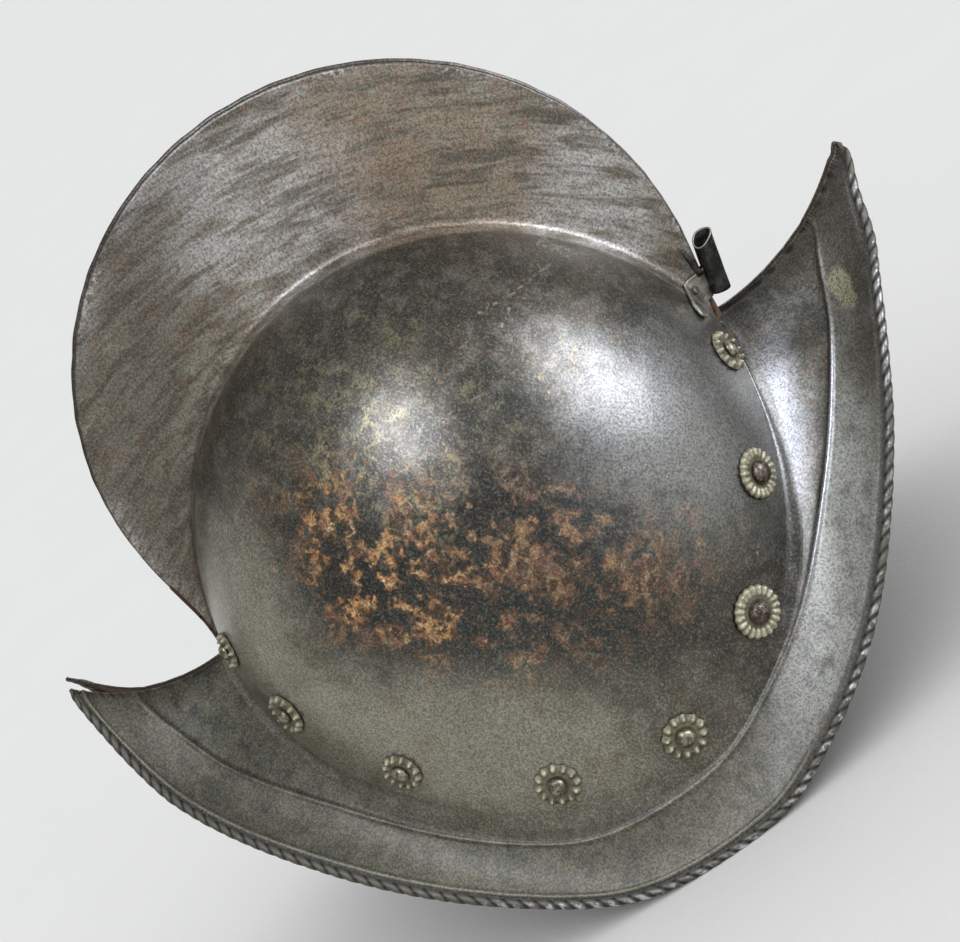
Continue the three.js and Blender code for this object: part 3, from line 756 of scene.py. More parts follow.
def holder_tube(name, material):
    """The plume tube, rolled from sheet, with its mouth cut aslant and one edge left standing out"""
    low, top = np.array(TUBE_LOW, float), np.array(TUBE_TOP, float)
    length = np.linalg.norm(top - low)
    axis = (top - low) / length
    across = np.array([1.0, 0, 0])
    behind = np.cross(axis, across)
    ring, rise = 48, 26
    points = []

    def add_wall(radius, foot, drop):
        for i in range(rise + 1):
            for k in range(ring):
                turn = 2 * math.pi * k / ring
                mouth = length - drop - MOUTH_SLANT * (0.5 + 0.5 * math.cos(turn - MOUTH_LOW_AT)) ** 1.5
                h = foot + (mouth - foot) * i / rise
                dent = 0.12 * noise.noise(Vector((math.cos(turn) * 1.2, math.sin(turn) * 1.2, h / 5)))
                r = radius + dent + 0.25 * smooth_step(h, length - 3, length)
                points.append(low + axis * h + (across * math.cos(turn) + behind * math.sin(turn)) * r)

    add_wall(TUBE_RADIUS, 0, 0)
    add_wall(TUBE_BORE, 1, 0)
    half = (rise + 1) * ring
    faces = []
    for i in range(rise):
        for k in range(ring):
            a, b = i * ring + k, i * ring + (k + 1) % ring
            faces.append((a, b, b + ring, a + ring))
            faces.append((half + a, half + a + ring, half + b + ring, half + b))
    for k in range(ring):
        a, b = rise * ring + k, rise * ring + (k + 1) % ring
        faces.append((a, b, half + b, half + a))
    faces.append(tuple(range(ring))[::-1])
    faces.append(tuple(range(half, half + ring)))

    root = np.array(TONGUE_ROOT, float)
    reach = np.array(TONGUE_END, float) - root
    wide = np.cross(reach, across)
    wide = wide / np.linalg.norm(wide) * 0.85
    first = len(points)
    steps = 8
    for i in range(steps + 1):
        t = i / steps
        middle = root + reach * t + across * 0.5 * math.sin(t * 2.4)
        narrow = 1 - 0.45 * t * t
        for sx, sw in ((-0.4, -1), (0.4, -1), (0.4, 1), (-0.4, 1)):
            points.append(middle + across * sx + wide * sw * narrow * 1.5)
    for i in range(steps):
        for k in range(4):
            a, b = first + i * 4 + k, first + i * 4 + (k + 1) % 4
            faces.append((a, b, b + 4, a + 4))
    faces.append((first + 3, first + 2, first + 1, first))
    last = first + steps * 4
    faces.append((last, last + 1, last + 2, last + 3))
    mouth = np.zeros(len(points))
    mouth[rise * ring:half] = 1
    mouth[half + rise * ring:2 * half] = 1
    return mesh_object(name, points, faces, material, {"mouth": mouth})


class Term:
    """A socket of a material that can be used in sums"""

    def __init__(self, paint, socket):
        self.paint = paint
        self.socket = socket

    def __add__(self, other):
        return self.paint.maths("ADD", self, other)

    def __radd__(self, other):
        return self.paint.maths("ADD", other, self)

    def __sub__(self, other):
        return self.paint.maths("SUBTRACT", self, other)

    def __rsub__(self, other):
        return self.paint.maths("SUBTRACT", other, self)

    def __mul__(self, other):
        return self.paint.maths("MULTIPLY", self, other)

    def __rmul__(self, other):
        return self.paint.maths("MULTIPLY", other, self)

    def __truediv__(self, other):
        return self.paint.maths("DIVIDE", self, other)

    def __rtruediv__(self, other):
        return self.paint.maths("DIVIDE", other, self)

    def __pow__(self, other):
        return self.paint.maths("POWER", self, other)

    def __neg__(self):
        return self.paint.maths("MULTIPLY", self, -1)

    def largest(self, other):
        return self.paint.maths("MAXIMUM", self, other)

    def least(self, other):
        return self.paint.maths("MINIMUM", self, other)

    def band(self, low, high):
        """0 below low, 1 above high, smooth between; low may lie above high"""
        settings = {"interpolation_type": "SMOOTHSTEP"}
        return self.paint.node("ShaderNodeMapRange", settings,
                               {"Value": self, "From Min": low, "From Max": high})


class Paint:
    """Builds the nodes of one material"""

    def __init__(self, name):
        self.material = bpy.data.materials.new(name)
        self.material.use_nodes = True
        self.tree = self.material.node_tree
        self.shader = self.tree.nodes["Principled BSDF"]
        where = self.node("ShaderNodeTexCoord", {}, {}, "Object")
        self.place = self.node("ShaderNodeVectorMath", {"operation": "SCALE"}, {0: where, "Scale": 1000})

    def node(self, kind, settings, inputs, output=0):
        made = self.tree.nodes.new(kind)
        for key, value in settings.items():
            setattr(made, key, value)
        for key, value in inputs.items():
            if isinstance(value, Term):
                self.tree.links.new(value.socket, made.inputs[key])
            else:
                made.inputs[key].default_value = value
        return Term(self, made.outputs[output])

    def maths(self, operation, a, b):
        return self.node("ShaderNodeMath", {"operation": operation}, {0: a, 1: b})

    def layer(self, name):
        """A value stored on the points of the mesh"""
        return self.node("ShaderNodeAttribute", {"attribute_name": name}, {}, "Fac")

    def parts(self):
        """The place in millimetres as three values"""
        split = self.node("ShaderNodeSeparateXYZ", {}, {0: self.place})
        outputs = split.socket.node.outputs
        return [Term(self, outputs[k]) for k in range(3)]

    def stretched(self, scale, turn=(0, 0, 0), shift=(0, 0, 0)):
        return self.node("ShaderNodeMapping", {},
                         {"Vector": self.place, "Scale": scale, "Rotation": turn, "Location": shift})

    def noise(self, size, rough=0.5, bend=0.0, at=None):
        """Cloudy noise with features about size millimetres across"""
        return self.node("ShaderNodeTexNoise", {},
                         {"Vector": at or self.place, "Scale": 1 / size, "Detail": NOISE_DETAIL,
                          "Roughness": rough, "Distortion": bend})

    def cell_edges(self, size, at):
        """Distance to the walls of cells about size millimetres across"""
        return self.node("ShaderNodeTexVoronoi", {"feature": "DISTANCE_TO_EDGE"},
                         {"Vector": at, "Scale": 1 / size}, "Distance")

    def mix(self, low, high, factor, kind="MIX"):
        """Between two colours"""
        made = self.tree.nodes.new("ShaderNodeMix")
        made.data_type = "RGBA"
        made.blend_type = kind
        for index, value in ((0, factor), (6, low), (7, high)):
            if isinstance(value, Term):
                self.tree.links.new(value.socket, made.inputs[index])
            elif index == 0:
                made.inputs[index].default_value = value
            else:
                made.inputs[index].default_value = (*value, 1)
        return Term(self, made.outputs[2])

    def bump(self, height, strength, below=None):
        """height in millimetres"""
        inputs = {"Height": height, "Strength": strength, "Distance": MM}
        if below:
            inputs["Normal"] = below
        return self.node("ShaderNodeBump", {}, inputs)

    def finish(self, colour, metallic, roughness, normal=None, coat=0.0):
        for key, value in (("Base Color", colour), ("Metallic", metallic), ("Roughness", roughness),
                           ("Normal", normal), ("Coat Weight", coat)):
            if value is None:
                continue
            if isinstance(value, Term):
                self.tree.links.new(value.socket, self.shader.inputs[key])
            else:
                self.shader.inputs[key].default_value = value
        return self.material


# Octaves of the noise in all materials
NOISE_DETAIL = 2.0

# Colours of the old steel and what lies on it, and of the painted sheens, highlights and shade
DARK_STEEL = (0.040, 0.039, 0.031)
BROWN_STEEL = (0.100, 0.080, 0.054)
GREY_STEEL = (0.235, 0.232, 0.202)
OLIVE_BLOOM = (0.300, 0.288, 0.212)
SOOT_AND_PAINTED_SHADE = (0.018, 0.018, 0.016)
WORN_EDGE = (0.620, 0.600, 0.560)
COMB_BROWN = (0.330, 0.305, 0.230)
COMB_RUSSET = (0.300, 0.190, 0.105)
COMB_PAINTED_SHEEN = (0.560, 0.550, 0.510)
STROKE_DARK = (0.070, 0.062, 0.048)
STREAK_DARK = (0.075, 0.064, 0.045)
COMB_RUST = (0.270, 0.125, 0.055)
CREST_DARK = (0.060, 0.056, 0.047)
OLIVE_CLOUD = (0.285, 0.250, 0.150)
GREY_BACK = (0.330, 0.330, 0.305)
RUST_RED = (0.240, 0.070, 0.020)
RUST_ORANGE = (0.520, 0.250, 0.060)
RUST_CREAM = (0.600, 0.500, 0.270)
RUST_GROUND = (0.110, 0.046, 0.018)
RUST_BLACK = (0.012, 0.015, 0.017)
VEIN = (0.300, 0.265, 0.130)
VEIN_CLOUD = (0.165, 0.155, 0.095)
FRECKLE = (0.330, 0.210, 0.080)
RING_BROWN = (0.330, 0.215, 0.110)
SCRATCH = (0.420, 0.400, 0.270)
FRONT_PAINTED_SHADE = (0.018, 0.019, 0.014)
OUTER_BRIM = (0.43, 0.43, 0.37)
LOW_BRIM = (0.155, 0.145, 0.095)
UPPER_BRIM = (0.085, 0.072, 0.053)
BRIM_SHEEN = (0.36, 0.37, 0.38)
RIB_PALE = (0.28, 0.265, 0.195)
RIB_PAINTED_HIGHLIGHT = (0.56, 0.57, 0.57)
EDGE_PALE = (0.24, 0.23, 0.16)
STAIN = (0.40, 0.39, 0.24)
SEAM_PALE_AND_HIGHLIGHT = (0.45, 0.43, 0.33)
CREST_RUBBED_AND_SHEEN = (0.50, 0.48, 0.45)
GRAIN_RED = (0.240, 0.095, 0.045)
GRAIN_GREEN = (0.080, 0.125, 0.095)
GRAIN_PALE = (0.40, 0.37, 0.26)
INSIDE_DARK = (0.045, 0.033, 0.025)
INSIDE_RUST = (0.12, 0.06, 0.03)

# Wear, stains and painted sheens (crest_front, crest_back, back_sheen) on the side of the helmet: centre
# and half sizes in millimetres along and across a line that falls 35 degrees towards the back
WEAR_TILT = 35
WEAR = {
    "rust": {"along": -78, "across": 104, "long": 68, "wide": 34},
    "soot": {"along": -56, "across": 86, "long": 66, "wide": 26},
    "ochre": {"along": -128, "across": 118, "long": 26, "wide": 24},
    "veins": {"along": -110, "across": 150, "long": 44, "wide": 34},
    "bloom": {"along": -92, "across": 36, "long": 84, "wide": 34},
    "front_bloom": {"along": -166, "across": 70, "long": 22, "wide": 40},
    "crest_front": {"along": -158, "across": 214, "long": 34, "wide": 30},
    "crest_back": {"along": -34, "across": 212, "long": 22, "wide": 36},
    "crest_brown": {"along": -104, "across": 226, "long": 46, "wide": 34},
    "grey_back": {"along": -8, "across": 142, "long": 46, "wide": 32},
    "back_sheen": {"along": 31, "across": 140, "long": 7, "wide": 23},
    "stain": {"along": 54, "across": 186, "long": 3.6, "wide": 6.0},
    "ring": {"along": -28, "across": 107, "long": 6.5, "wide": 6.5},
}

# Scratches and pale marks, each a short line in the same directions
MARKS = [
    {"from": (-88, 185), "to": (-73, 191), "wide": 0.5, "pale": 0.6},
    {"from": (-73, 191), "to": (-53, 199), "wide": 0.45, "pale": 0.5},
    {"from": (-70, 189), "to": (-74, 183), "wide": 0.7, "pale": 0.6},
    {"from": (-56, 204), "to": (-46, 200), "wide": 0.6, "pale": 0.4},
    {"from": (-28, 42), "to": (-27.5, 38.5), "wide": 1.0, "pale": 0.85},
    {"from": (-28, 35), "to": (-27, 33.5), "wide": 1.1, "pale": 0.85},
    {"from": (17, 101), "to": (17.5, 103.5), "wide": 0.9, "pale": 0.6},
    {"from": (1, 176.5), "to": (-9, 180), "wide": 0.8, "pale": 0.5},
]


def old_steel(name):
    """Dark forged steel with brown tarnish, rust, pale bloom and worn edges, and painted sheens,
    highlights and shade
    """
    paint = Paint(name)
    cover = paint.mix
    x, y, z = paint.parts()
    cos, sin = math.cos(math.radians(WEAR_TILT)), math.sin(math.radians(WEAR_TILT))
    along = y * cos - z * sin
    across = y * sin + z * cos
    ragged = paint.noise(22, 0.6) - 0.5
    ragged_fine = paint.noise(7, 0.6) - 0.5

    def far_from(key):
        row = WEAR[key]
        a = (along - row["along"]) / row["long"]
        b = (across - row["across"]) / row["wide"]
        return (a * a + b * b) ** 0.5

    def patch(key, soft=0.45):
        return (far_from(key) + ragged * 1.1 + ragged_fine * 0.6).band(1 + soft, 1 - soft)

    inside = paint.layer("inside").band(0.7, 1.0)
    rim = paint.layer("from_rim")
    rib = paint.layer("from_rib")
    crest = paint.layer("below_crest")
    over = paint.layer("over_comb")
    brim = rim.band(155, 145)
    skull = over.band(-2, 8) * (1 - brim)
    comb = (1 - over.band(-8, 2)) * (1 - brim)

    # Tarnish: broad clouds, finer mottling and the grain of the worked surface
    clouds = paint.noise(48, 0.6, 0.4)
    mottle = paint.noise(8, 0.7, 0.2)
    speckle = paint.noise(0.85, 0.6)
    warm_grain = paint.noise(1.3, 0.7, 0, paint.stretched((1, 1, 1), (0, 0, 0), (40, 0, 0)))
    cool_grain = paint.noise(1.1, 0.7, 0, paint.stretched((1, 1, 1), (0, 0, 0), (0, 60, 0)))
    from_y, from_z = y - STROKE_CENTRE[0], z - STROKE_CENTRE[1]
    reach = (from_y * from_y + from_z * from_z) ** 0.5
    turned = paint.maths("ARCTAN2", from_y, from_z) * 175
    brushed = paint.node("ShaderNodeCombineXYZ", {},
                         {"X": turned * 0.10, "Y": reach * 0.75 + ragged * 3, "Z": x * 0.1})
    strokes = paint.noise(1.0, 0.5, 0.3, brushed)
    wider = paint.node("ShaderNodeCombineXYZ", {}, {"X": turned * 0.045, "Y": reach * 0.20, "Z": x * 0.1})
    streaks = paint.noise(1.0, 0.65, 0.4, wider)
    tone = clouds * 0.5 + mottle * 0.5
    colour = paint.mix(DARK_STEEL, BROWN_STEEL, tone.band(0.36, 0.66))
    colour = cover(colour, GREY_STEEL, (mottle.band(0.46, 0.72) * 0.35 + brim * 0.18))

    # Comb: streaky, brown in the middle, with lighter grey painted sheens near the front and back of the
    # crest
    brown = patch("crest_brown") * streaks.band(0.35, 0.65)
    # Painted sheen: lighter grey patches on the comb stand in for reflections of the lamps
    comb_painted_sheen = patch("crest_front", 0.6).largest(patch("crest_back", 0.6))
    lay = (streaks * 0.5 + clouds * 0.5).band(0.38, 0.62)
    colour = cover(colour, COMB_BROWN, comb * (0.35 + lay * 0.65))
    colour = cover(colour, COMB_RUSSET, brown * comb * 0.55)
    colour = cover(colour, COMB_PAINTED_SHEEN, comb_painted_sheen * comb * (0.12 + streaks.band(0.36, 0.60) * 0.75))
    colour = cover(colour, STROKE_DARK, comb * strokes.band(0.55, 0.25) * 0.5)
    colour = cover(colour, STREAK_DARK, comb * streaks.band(0.52, 0.36) * (1 - comb_painted_sheen) * 0.6)
    rusty = paint.noise(3.4, 0.75, 0.4).band(0.54, 0.68) * comb * (1 - comb_painted_sheen * 0.7)
    colour = cover(colour, COMB_RUST, rusty * 0.4)
    colour = cover(colour, CREST_DARK, comb * (along.band(-165, -200)) * clouds.band(0.3, 0.6) * 0.6)

    # Skull: dark and rusty in the middle, pale bloom below
    soot = patch("soot", 0.6) * skull
    colour = cover(colour, SOOT_AND_PAINTED_SHADE, soot * mottle.band(0.25, 0.55) * 0.7)
    bloom = patch("bloom", 0.6).largest(patch("front_bloom", 0.6)) * (skull + brim * rib.band(2, 8) * 0.4)
    olive = paint.mix(OLIVE_BLOOM, OLIVE_CLOUD, paint.noise(11, 0.65).band(0.5, 0.7) * 0.7)
    colour = cover(colour, olive, bloom * (0.62 + mottle * 0.3))
    grey = patch("grey_back", 0.6) * skull
    colour = cover(colour, GREY_BACK, grey * 0.75)

    # Rust spots with pale crusts round them
    warp = paint.node("ShaderNodeTexNoise", {}, {"Vector": paint.place, "Scale": 0.16, "Detail": 4.0,
                                                 "Roughness": 0.65}, "Color")
    moved = paint.node("ShaderNodeVectorMath", {"operation": "SCALE"}, {0: warp, "Scale": 9.0})
    bent = paint.node("ShaderNodeVectorMath", {"operation": "ADD"}, {0: paint.place, 1: moved})
    walls = paint.cell_edges(6.2, bent)
    broken = paint.noise(7.5, 0.7) * 0.65 + paint.noise(24, 0.5) * 0.35
    lichen = walls.band(0.20, 0.02) * broken.band(0.48, 0.56)
    blots = paint.noise(4.6, 0.7, 0.2, bent).band(0.55, 0.62) * broken.band(0.46, 0.54)
    crust = (lichen * 0.75).largest(blots)
    area = patch("rust", 0.35) * skull
    ochre_area = patch("ochre", 0.5) * skull
    vein_area = patch("veins", 0.5) * skull
    hue = paint.noise(9, 0.6)
    fine_hue = paint.noise(2.5, 0.7)
    warm = paint.mix(RUST_RED, RUST_ORANGE, (hue * 0.6 + fine_hue * 0.4).band(0.42, 0.58))
    warm = paint.mix(warm, RUST_CREAM, fine_hue.band(0.54, 0.68) * 0.8)
    colour = cover(colour, RUST_GROUND, area * broken.band(0.42, 0.56) * 0.7)
    colour = cover(colour, RUST_BLACK, area * broken.band(0.52, 0.42) * 0.8)
    left = along.band(-70, -105)
    colour = cover(colour, warm, area * crust * (0.5 + left * 0.5))
    colour = cover(colour, warm, ochre_area * crust * 0.9)
    vein = walls.band(0.16, 0.02) * paint.noise(10, 0.65).band(0.48, 0.62)
    colour = cover(colour, VEIN, vein_area * vein * 0.6)
    colour = cover(colour, VEIN_CLOUD, vein_area * broken.band(0.46, 0.6) * 0.3)
    freckles = paint.noise(3.2, 0.6).band(0.66, 0.72)
    colour = cover(colour, FRECKLE, freckles * skull * (1 - bloom) * 0.5)
    ring = far_from("ring")
    ring = (ring + ragged_fine * 0.5 - 1)
    ring = (ring * ring).band(0.06, 0.005) * fine_hue.band(0.42, 0.6)
    colour = cover(colour, RING_BROWN, ring * skull * 0.6)

    # Scratches and pale marks
    for row in MARKS:
        a, b = row["from"], row["to"]
        length = math.hypot(b[0] - a[0], b[1] - a[1])
        ux, uy = (b[0] - a[0]) / length, (b[1] - a[1]) / length
        da, db = along - a[0] + ragged_fine * 5, across - a[1] + ragged_fine * 4
        run = (da * ux + db * uy).largest(0).least(length)
        ox, oy = da - run * ux, db - run * uy
        off = (ox * ox + oy * oy) / row["wide"] ** 2
        mark = off.band(1.0, 0.2) * fine_hue.band(0.46, 0.56) * (1 - brim) * x.band(0, 5)
        colour = cover(colour, SCRATCH, mark * row["pale"])

    # Brim: painted shade on the front, pale line of the rib with a painted highlight at the back, painted
    # shade beside the rib, at the skull foot and in the groove, a painted sheen and the stain at the back
    # Painted shade: the front of the brim darkened where it would reflect dark surroundings
    front_painted_shade = y.band(-92, -128) * brim * (0.15 + rib.band(-5, 3) * 0.85)
    colour = cover(colour, FRONT_PAINTED_SHADE, front_painted_shade * 0.92)
    outer_back = y.band(20, 80) * rib.band(1, -3) * brim * y.band(160, 130)
    colour = cover(colour, OUTER_BRIM, outer_back * mottle.band(0.0, 0.6) * 0.85)
    colour = cover(colour, LOW_BRIM, brim * y.band(60, 0) * mottle.band(0.2, 0.7) * 0.6)
    upper_back = y.band(118, 140) * brim * clouds.band(0.3, 0.6)
    colour = cover(colour, UPPER_BRIM, upper_back * 0.7)
    # Painted sheen: a lighter patch on the back of the brim stands in for a reflection of the lamp
    sheen = patch("back_sheen", 0.7) * brim * rib.band(1, 4)
    colour = cover(colour, BRIM_SHEEN, sheen * (0.35 + strokes * 0.5))
    line = (rib * rib).band(1.9, 0.1) * brim
    worn = paint.noise(7, 0.6).band(0.35, 0.7)
    colour = cover(colour, RIB_PALE, line * (0.1 + worn * 0.5))
    # Painted highlight: the rib line lighter at the back
    colour = cover(colour, RIB_PAINTED_HIGHLIGHT, line * y.band(60, 105) * y.band(150, 130) * 0.8)
    # Painted shade along the inner side of the rib
    shade = ((rib - 1.5) * (rib - 1.5)).band(0.9, 0.1) * brim
    colour = cover(colour, SOOT_AND_PAINTED_SHADE, shade * 0.5)
    # Painted shade at the foot of the skull, along the crease where it meets the brim
    foot = over.band(70, 98) * (1 - brim)
    colour = cover(colour, SOOT_AND_PAINTED_SHADE, foot * 0.35)
    # Painted shade in the groove inside the roped edge, wider towards the back
    back = y.band(10, 90)
    groove = (rim - EDGE_GROOVE - back * 0.9) / (0.8 + back * 1.3)
    groove = (groove * groove).band(1.4, 0.1)
    colour = cover(colour, SOOT_AND_PAINTED_SHADE, groove * 0.85)
    bead = ((rim - EDGE_LINE) * (rim - EDGE_LINE)).band(1.2, 0.1) * (1 - back)
    colour = cover(colour, EDGE_PALE, bead * 0.6)
    colour = cover(colour, STAIN, patch("stain", 0.25) * brim * speckle.band(0.3, 0.45) * 0.8)
    # Pale worn edge of the near half's seam, brightened as a painted highlight; the far half's cut edge
    # beside it gets painted shade
    seam = x.band(0.9, 0.3) * x.band(-0.2, 0.05) * brim
    colour = cover(colour, SEAM_PALE_AND_HIGHLIGHT, seam * 0.7)
    colour = cover(colour, SOOT_AND_PAINTED_SHADE, x.band(0.0, -0.1) * x.band(-1.2, -0.4) * brim * 0.8)

    # Crest: bright chips just inside the dark edge, and a rubbed band lightened further as a painted
    # sheen
    chip_noise = paint.noise(2.4, 0.6, 0.5)
    chips = chip_noise.band(0.55, 0.62) * crest.band(5, 1.2) * paint.noise(40, 0.5).band(0.42, 0.6)
    colour = cover(colour, WORN_EDGE, chips * 0.85)
    # Rubbed band along the crest, lightened further as a painted sheen
    rubbed_and_sheen = crest.band(11, 2) * paint.noise(46, 0.5).band(0.44, 0.62) * strokes.band(0.3, 0.6)
    colour = cover(colour, CREST_RUBBED_AND_SHEEN, rubbed_and_sheen * 0.5)
    colour = cover(colour, SOOT_AND_PAINTED_SHADE, crest.band(0.9, 0.2) * 0.75)

    # Grain: tiny flecks of red, green and dark all over
    colour = cover(colour, GRAIN_RED, warm_grain.band(0.48, 0.66) * (0.2 + comb * 0.3))
    colour = cover(colour, GRAIN_GREEN, cool_grain.band(0.48, 0.66) * 0.4)
    colour = cover(colour, SOOT_AND_PAINTED_SHADE, speckle.band(0.58, 0.34) * 0.5)
    colour = cover(colour, GRAIN_PALE, speckle.band(0.50, 0.74) * (0.25 + bloom * 0.2 - brim * 0.1))

    # Inside: darker and rustier, never polished
    colour = cover(colour, paint.mix(INSIDE_DARK, INSIDE_RUST, mottle), inside)

    rough = 0.27 + mottle * 0.08 + speckle * 0.06 + crust * area * 0.35 + soot * 0.10
    low_brim = brim * y.band(100, 60)
    fillet = over.band(-16, -3) * over.band(14, 3) * (1 - brim)
    rough = rough + fillet * 0.14 + y.band(20, 80) * rib.band(1, -3) * brim * 0.12
    rough = rough + inside * 0.3 + groove * 0.2 + comb * 0.13 + low_brim * 0.22 + front_painted_shade * 0.05
    metallic = 0.80 - crust * area * 0.55 - inside * 0.4 - groove * 0.4 - bloom * 0.3
    height = speckle * 0.05 + mottle * 0.12
    pits = paint.noise(1.3, 0.5).band(0.68, 0.8) * -0.10
    normal = paint.bump(height + pits, 0.9)
    paint.shader.inputs["Coat Roughness"].default_value = 0.30
    return paint.finish(colour, metallic, rough, normal, (1 - inside) * (0.35 - brim * 0.25))


def rope_steel(name):
    """The roped edge: dark in the twist, with worn crowns painted bright as glints on the outer side"""
    paint = Paint(name)
    crown = paint.layer("crown")
    turn = paint.layer("turn")
    patchy = paint.noise(16, 0.6)
    fine = paint.noise(2.2, 0.6)
    outer = (turn - math.pi).largest(math.pi - turn).band(1.2, 2.6)
    x, y, z = paint.parts()
    # Painted glints: worn crowns lightened on the outer side only, and less towards the back
    worn_and_glint = (patchy * 0.55 + fine * 0.45).band(0.47, 0.56)
    shine = crown.band(0.6, 0.95) * worn_and_glint * outer * y.band(-110, -50)
    raised = crown.band(0.2, 0.9) * (0.5 + fine * 0.6)
    colour = paint.mix((0.024, 0.022, 0.018), (0.115, 0.108, 0.082), raised)
    colour = paint.mix(colour, (0.60, 0.59, 0.56), shine * (0.9 - y.band(60, 120) * 0.5))
    rough = 0.5 - shine * 0.15 + fine * 0.1
    metallic = 0.55 + shine * 0.3
    return paint.finish(colour, metallic, rough, paint.bump(fine * 0.15, 0.8))


def rosette_brass(name):
    """Dull yellow-green brass with dirt between the beads"""
    paint = Paint(name)
    crown = paint.layer("crown")
    mottle = paint.noise(3.0, 0.6)
    fine = paint.noise(0.8, 0.6)
    colour = paint.mix((0.150, 0.135, 0.085), (0.330, 0.310, 0.200), crown.band(0.05, 0.75))
    colour = paint.mix(colour, (0.085, 0.076, 0.048), mottle.band(0.45, 0.65) * 0.6)
    colour = paint.mix(colour, (0.62, 0.60, 0.45), crown.band(0.7, 1.0) * fine.band(0.5, 0.6) * 0.6)
    return paint.finish(colour, 0.55, 0.42 + mottle * 0.18, paint.bump(fine * 0.1 + mottle * 0.1, 0.7))


def rivet_steel(name, worn=(0.290, 0.270, 0.180), dark=(0.095, 0.084, 0.055)):
    """Rivet heads, dull with worn bright spots"""
    paint = Paint(name)
    mottle = paint.noise(2.2, 0.6)
    fine = paint.noise(0.7, 0.6)
    colour = paint.mix(dark, worn, mottle.band(0.38, 0.62))
    colour = paint.mix(colour, (0.50, 0.48, 0.40), fine.band(0.55, 0.75) * 0.5)
    return paint.finish(colour, 0.75, 0.33 + mottle * 0.12, paint.bump(fine * 0.06 + mottle * 0.08, 0.7))


def holder_steel(name):
    """The nearly black tube"""
    paint = Paint(name)
    mottle = paint.noise(4.0, 0.65)
    fine = paint.noise(0.9, 0.6)
    colour = paint.mix((0.014, 0.013, 0.012), (0.055, 0.052, 0.040), mottle.band(0.4, 0.68))
    colour = paint.mix(colour, (0.20, 0.19, 0.14), fine.band(0.64, 0.75) * 0.5)
    # Painted highlight: the rim of the mouth lightened
    colour = paint.mix(colour, (0.33, 0.31, 0.24), paint.layer("mouth").band(0.35, 0.9) * 0.8)
    return paint.finish(colour, 0.7, 0.42 + mottle * 0.15, paint.bump(fine * 0.08 + mottle * 0.1, 0.7))


def plate_steel(name):
    """The base plate, tarnished like the comb, with a worn pale edge"""
    paint = Paint(name)
    edge = paint.layer("edge")
    mottle = paint.noise(4.0, 0.65)
    fine = paint.noise(1.2, 0.6)
    colour = paint.mix((0.060, 0.056, 0.044), (0.190, 0.180, 0.140), mottle.band(0.35, 0.65))
    colour = paint.mix(colour, (0.27, 0.255, 0.19), edge.band(0.8, 0.1) * fine.band(0.3, 0.5) * 0.8)
    return paint.finish(colour, 0.6, 0.42 + mottle * 0.15, paint.bump(fine * 0.1 + mottle * 0.1, 0.7))


def build_helmet():
    steel = old_steel("old_steel")
    rope = rope_steel("roped_edge_steel")
    brass = rosette_brass("rosette_brass")
    rivet_metal = rivet_steel("rivet_steel")
    dark_rivet = rivet_steel("dark_rivet_steel", (0.150, 0.110, 0.085), (0.040, 0.032, 0.026))
    for side, word in ((1, "left"), (-1, "right")):
        sheet = half_sheet(f"{word}_sheet", side, steel)
        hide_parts(f"{word}_half")
        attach(sheet, "root")
        edge = rope_edge(f"{word}_roped_edge", side, rope)
        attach(edge, "root")
        for i, spot in enumerate(ROSETTES, 1):
            seed = i if side > 0 else 40 + i
            washer = rosette(f"{word}_rosette_{i}", spot, side, brass, seed)
            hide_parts(f"rosette_{word}_{i}")
            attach(washer, "root")
            head = dark_rivet if spot["kind"] == "petals" else rivet_metal
            pin = rivet(f"{word}_rivet_{i}", spot, side, head, 100 + seed)
            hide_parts(f"rivet_{word}_{i}")
            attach(pin, "root")
    dark = holder_steel("holder_steel")
    plate = holder_plate("holder_base", plate_steel("holder_plate_steel"))
    tube = holder_tube("holder_tube", dark)
    for piece in (plate, tube):
        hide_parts("plume_holder")
        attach(piece, "root")
    for key in ("plume_rivet_1", "plume_rivet_2"):
        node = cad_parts[key]
        node.data.materials.clear()
        node.data.materials.append(rivet_metal)


# Camera: beside the wearer's left, a little above, rolled so that the helmet leans as in the picture
CAMERA_AT = Vector((902.7, 127.4, 464.9)) * MM
CAMERA_LOOKS_AT = Vector((0, 0.56, 133.08)) * MM
CAMERA_ROLL = 37.5
CAMERA_FOCAL = 2550 / 960


def build_camera():
    data = bpy.data.cameras.new("camera")
    data.sensor_width = 36
    data.lens = CAMERA_FOCAL * 36
    data.clip_start = 0.01
    data.clip_end = 50
    camera = bpy.data.objects.new("camera", data)
    bpy.context.scene.collection.objects.link(camera)
    look = (CAMERA_LOOKS_AT - CAMERA_AT).to_track_quat("-Z", "Y").to_matrix()
    roll = Matrix.Rotation(math.radians(-CAMERA_ROLL), 3, "Z")
    camera.matrix_world = Matrix.Translation(CAMERA_AT) @ (look @ roll).to_4x4()
    bpy.context.scene.camera = camera


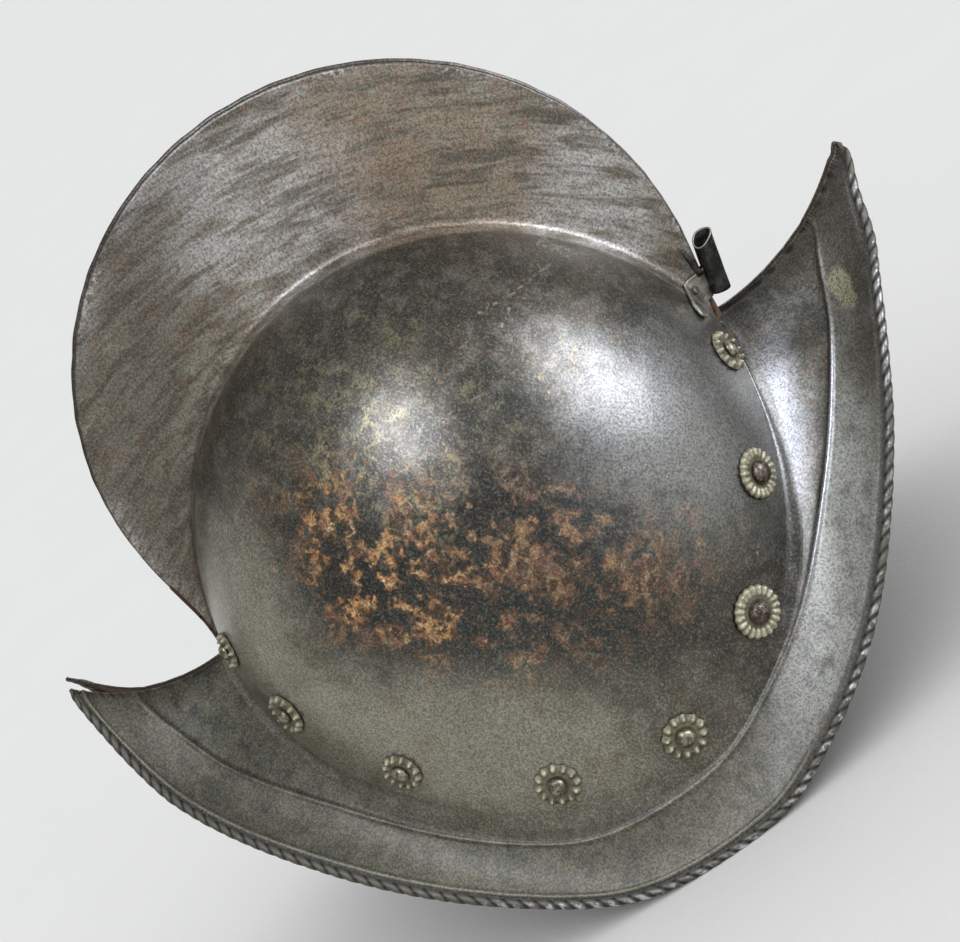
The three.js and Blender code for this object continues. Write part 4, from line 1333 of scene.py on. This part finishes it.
def area_light(name, direction, distance, size, power, colour, spared):
    """A round softbox that lights everything except the spared object"""
    data = bpy.data.lights.new(name, "AREA")
    data.shape = "DISK"
    data.size = size
    data.energy = power
    data.color = colour
    lamp = bpy.data.objects.new(name, data)
    bpy.context.scene.collection.objects.link(lamp)
    centre = Vector((0, 0, 150)) * MM
    where = centre + Vector(direction).normalized() * distance
    lamp.location = where
    lamp.rotation_euler = (centre - where).to_track_quat("-Z", "Y").to_euler()
    lit = bpy.data.collections.new(name + "_lights")
    lit.objects.link(spared)
    lit.collection_objects[0].light_linking.link_state = "EXCLUDE"
    lamp.light_linking.receiver_collection = lit


def build_stage():
    paint = Paint("pale_floor")
    grain = paint.noise(2.5, 0.6)
    cloud = paint.noise(60, 0.5)
    colour = paint.mix((0.765, 0.765, 0.755), (0.83, 0.83, 0.82), grain * 0.5 + cloud * 0.5)
    material = paint.finish(colour, 0.0, 0.9, paint.bump(grain * 0.25, 0.5))
    half = 4.0
    mesh = bpy.data.meshes.new("floor")
    corners = [(-half, -half, 0), (half, -half, 0), (half, half, 0), (-half, half, 0)]
    mesh.from_pydata(corners, [], [(0, 1, 2, 3)])
    floor = bpy.data.objects.new("floor", mesh)
    bpy.context.scene.collection.objects.link(floor)
    mesh.materials.append(material)

    area_light("softbox_above_left", (0.691, -0.097, 0.716), 1.38, 0.56, 11, (0.90, 0.95, 1.14), floor)
    area_light("softbox_behind", (0.352, 0.865, 0.358), 1.38, 0.74, 16, (0.90, 0.95, 1.14), floor)
    sun = bpy.data.lights.new("room_fill", "SUN")
    sun.energy = 1.9
    sun.angle = math.radians(130)
    fill = bpy.data.objects.new("room_fill", sun)
    bpy.context.scene.collection.objects.link(fill)
    fill.rotation_euler = (0, 0, 0)
    fill.visible_glossy = False

    bpy.context.scene.view_settings.view_transform = "Standard"
    world = bpy.data.worlds.new("studio")
    bpy.context.scene.world = world
    world.use_nodes = True
    background = world.node_tree.nodes["Background"]
    background.inputs["Color"].default_value = (0.95, 0.97, 1.0, 1)
    background.inputs["Strength"].default_value = 0.42


build_helmet()
build_camera()
build_stage()
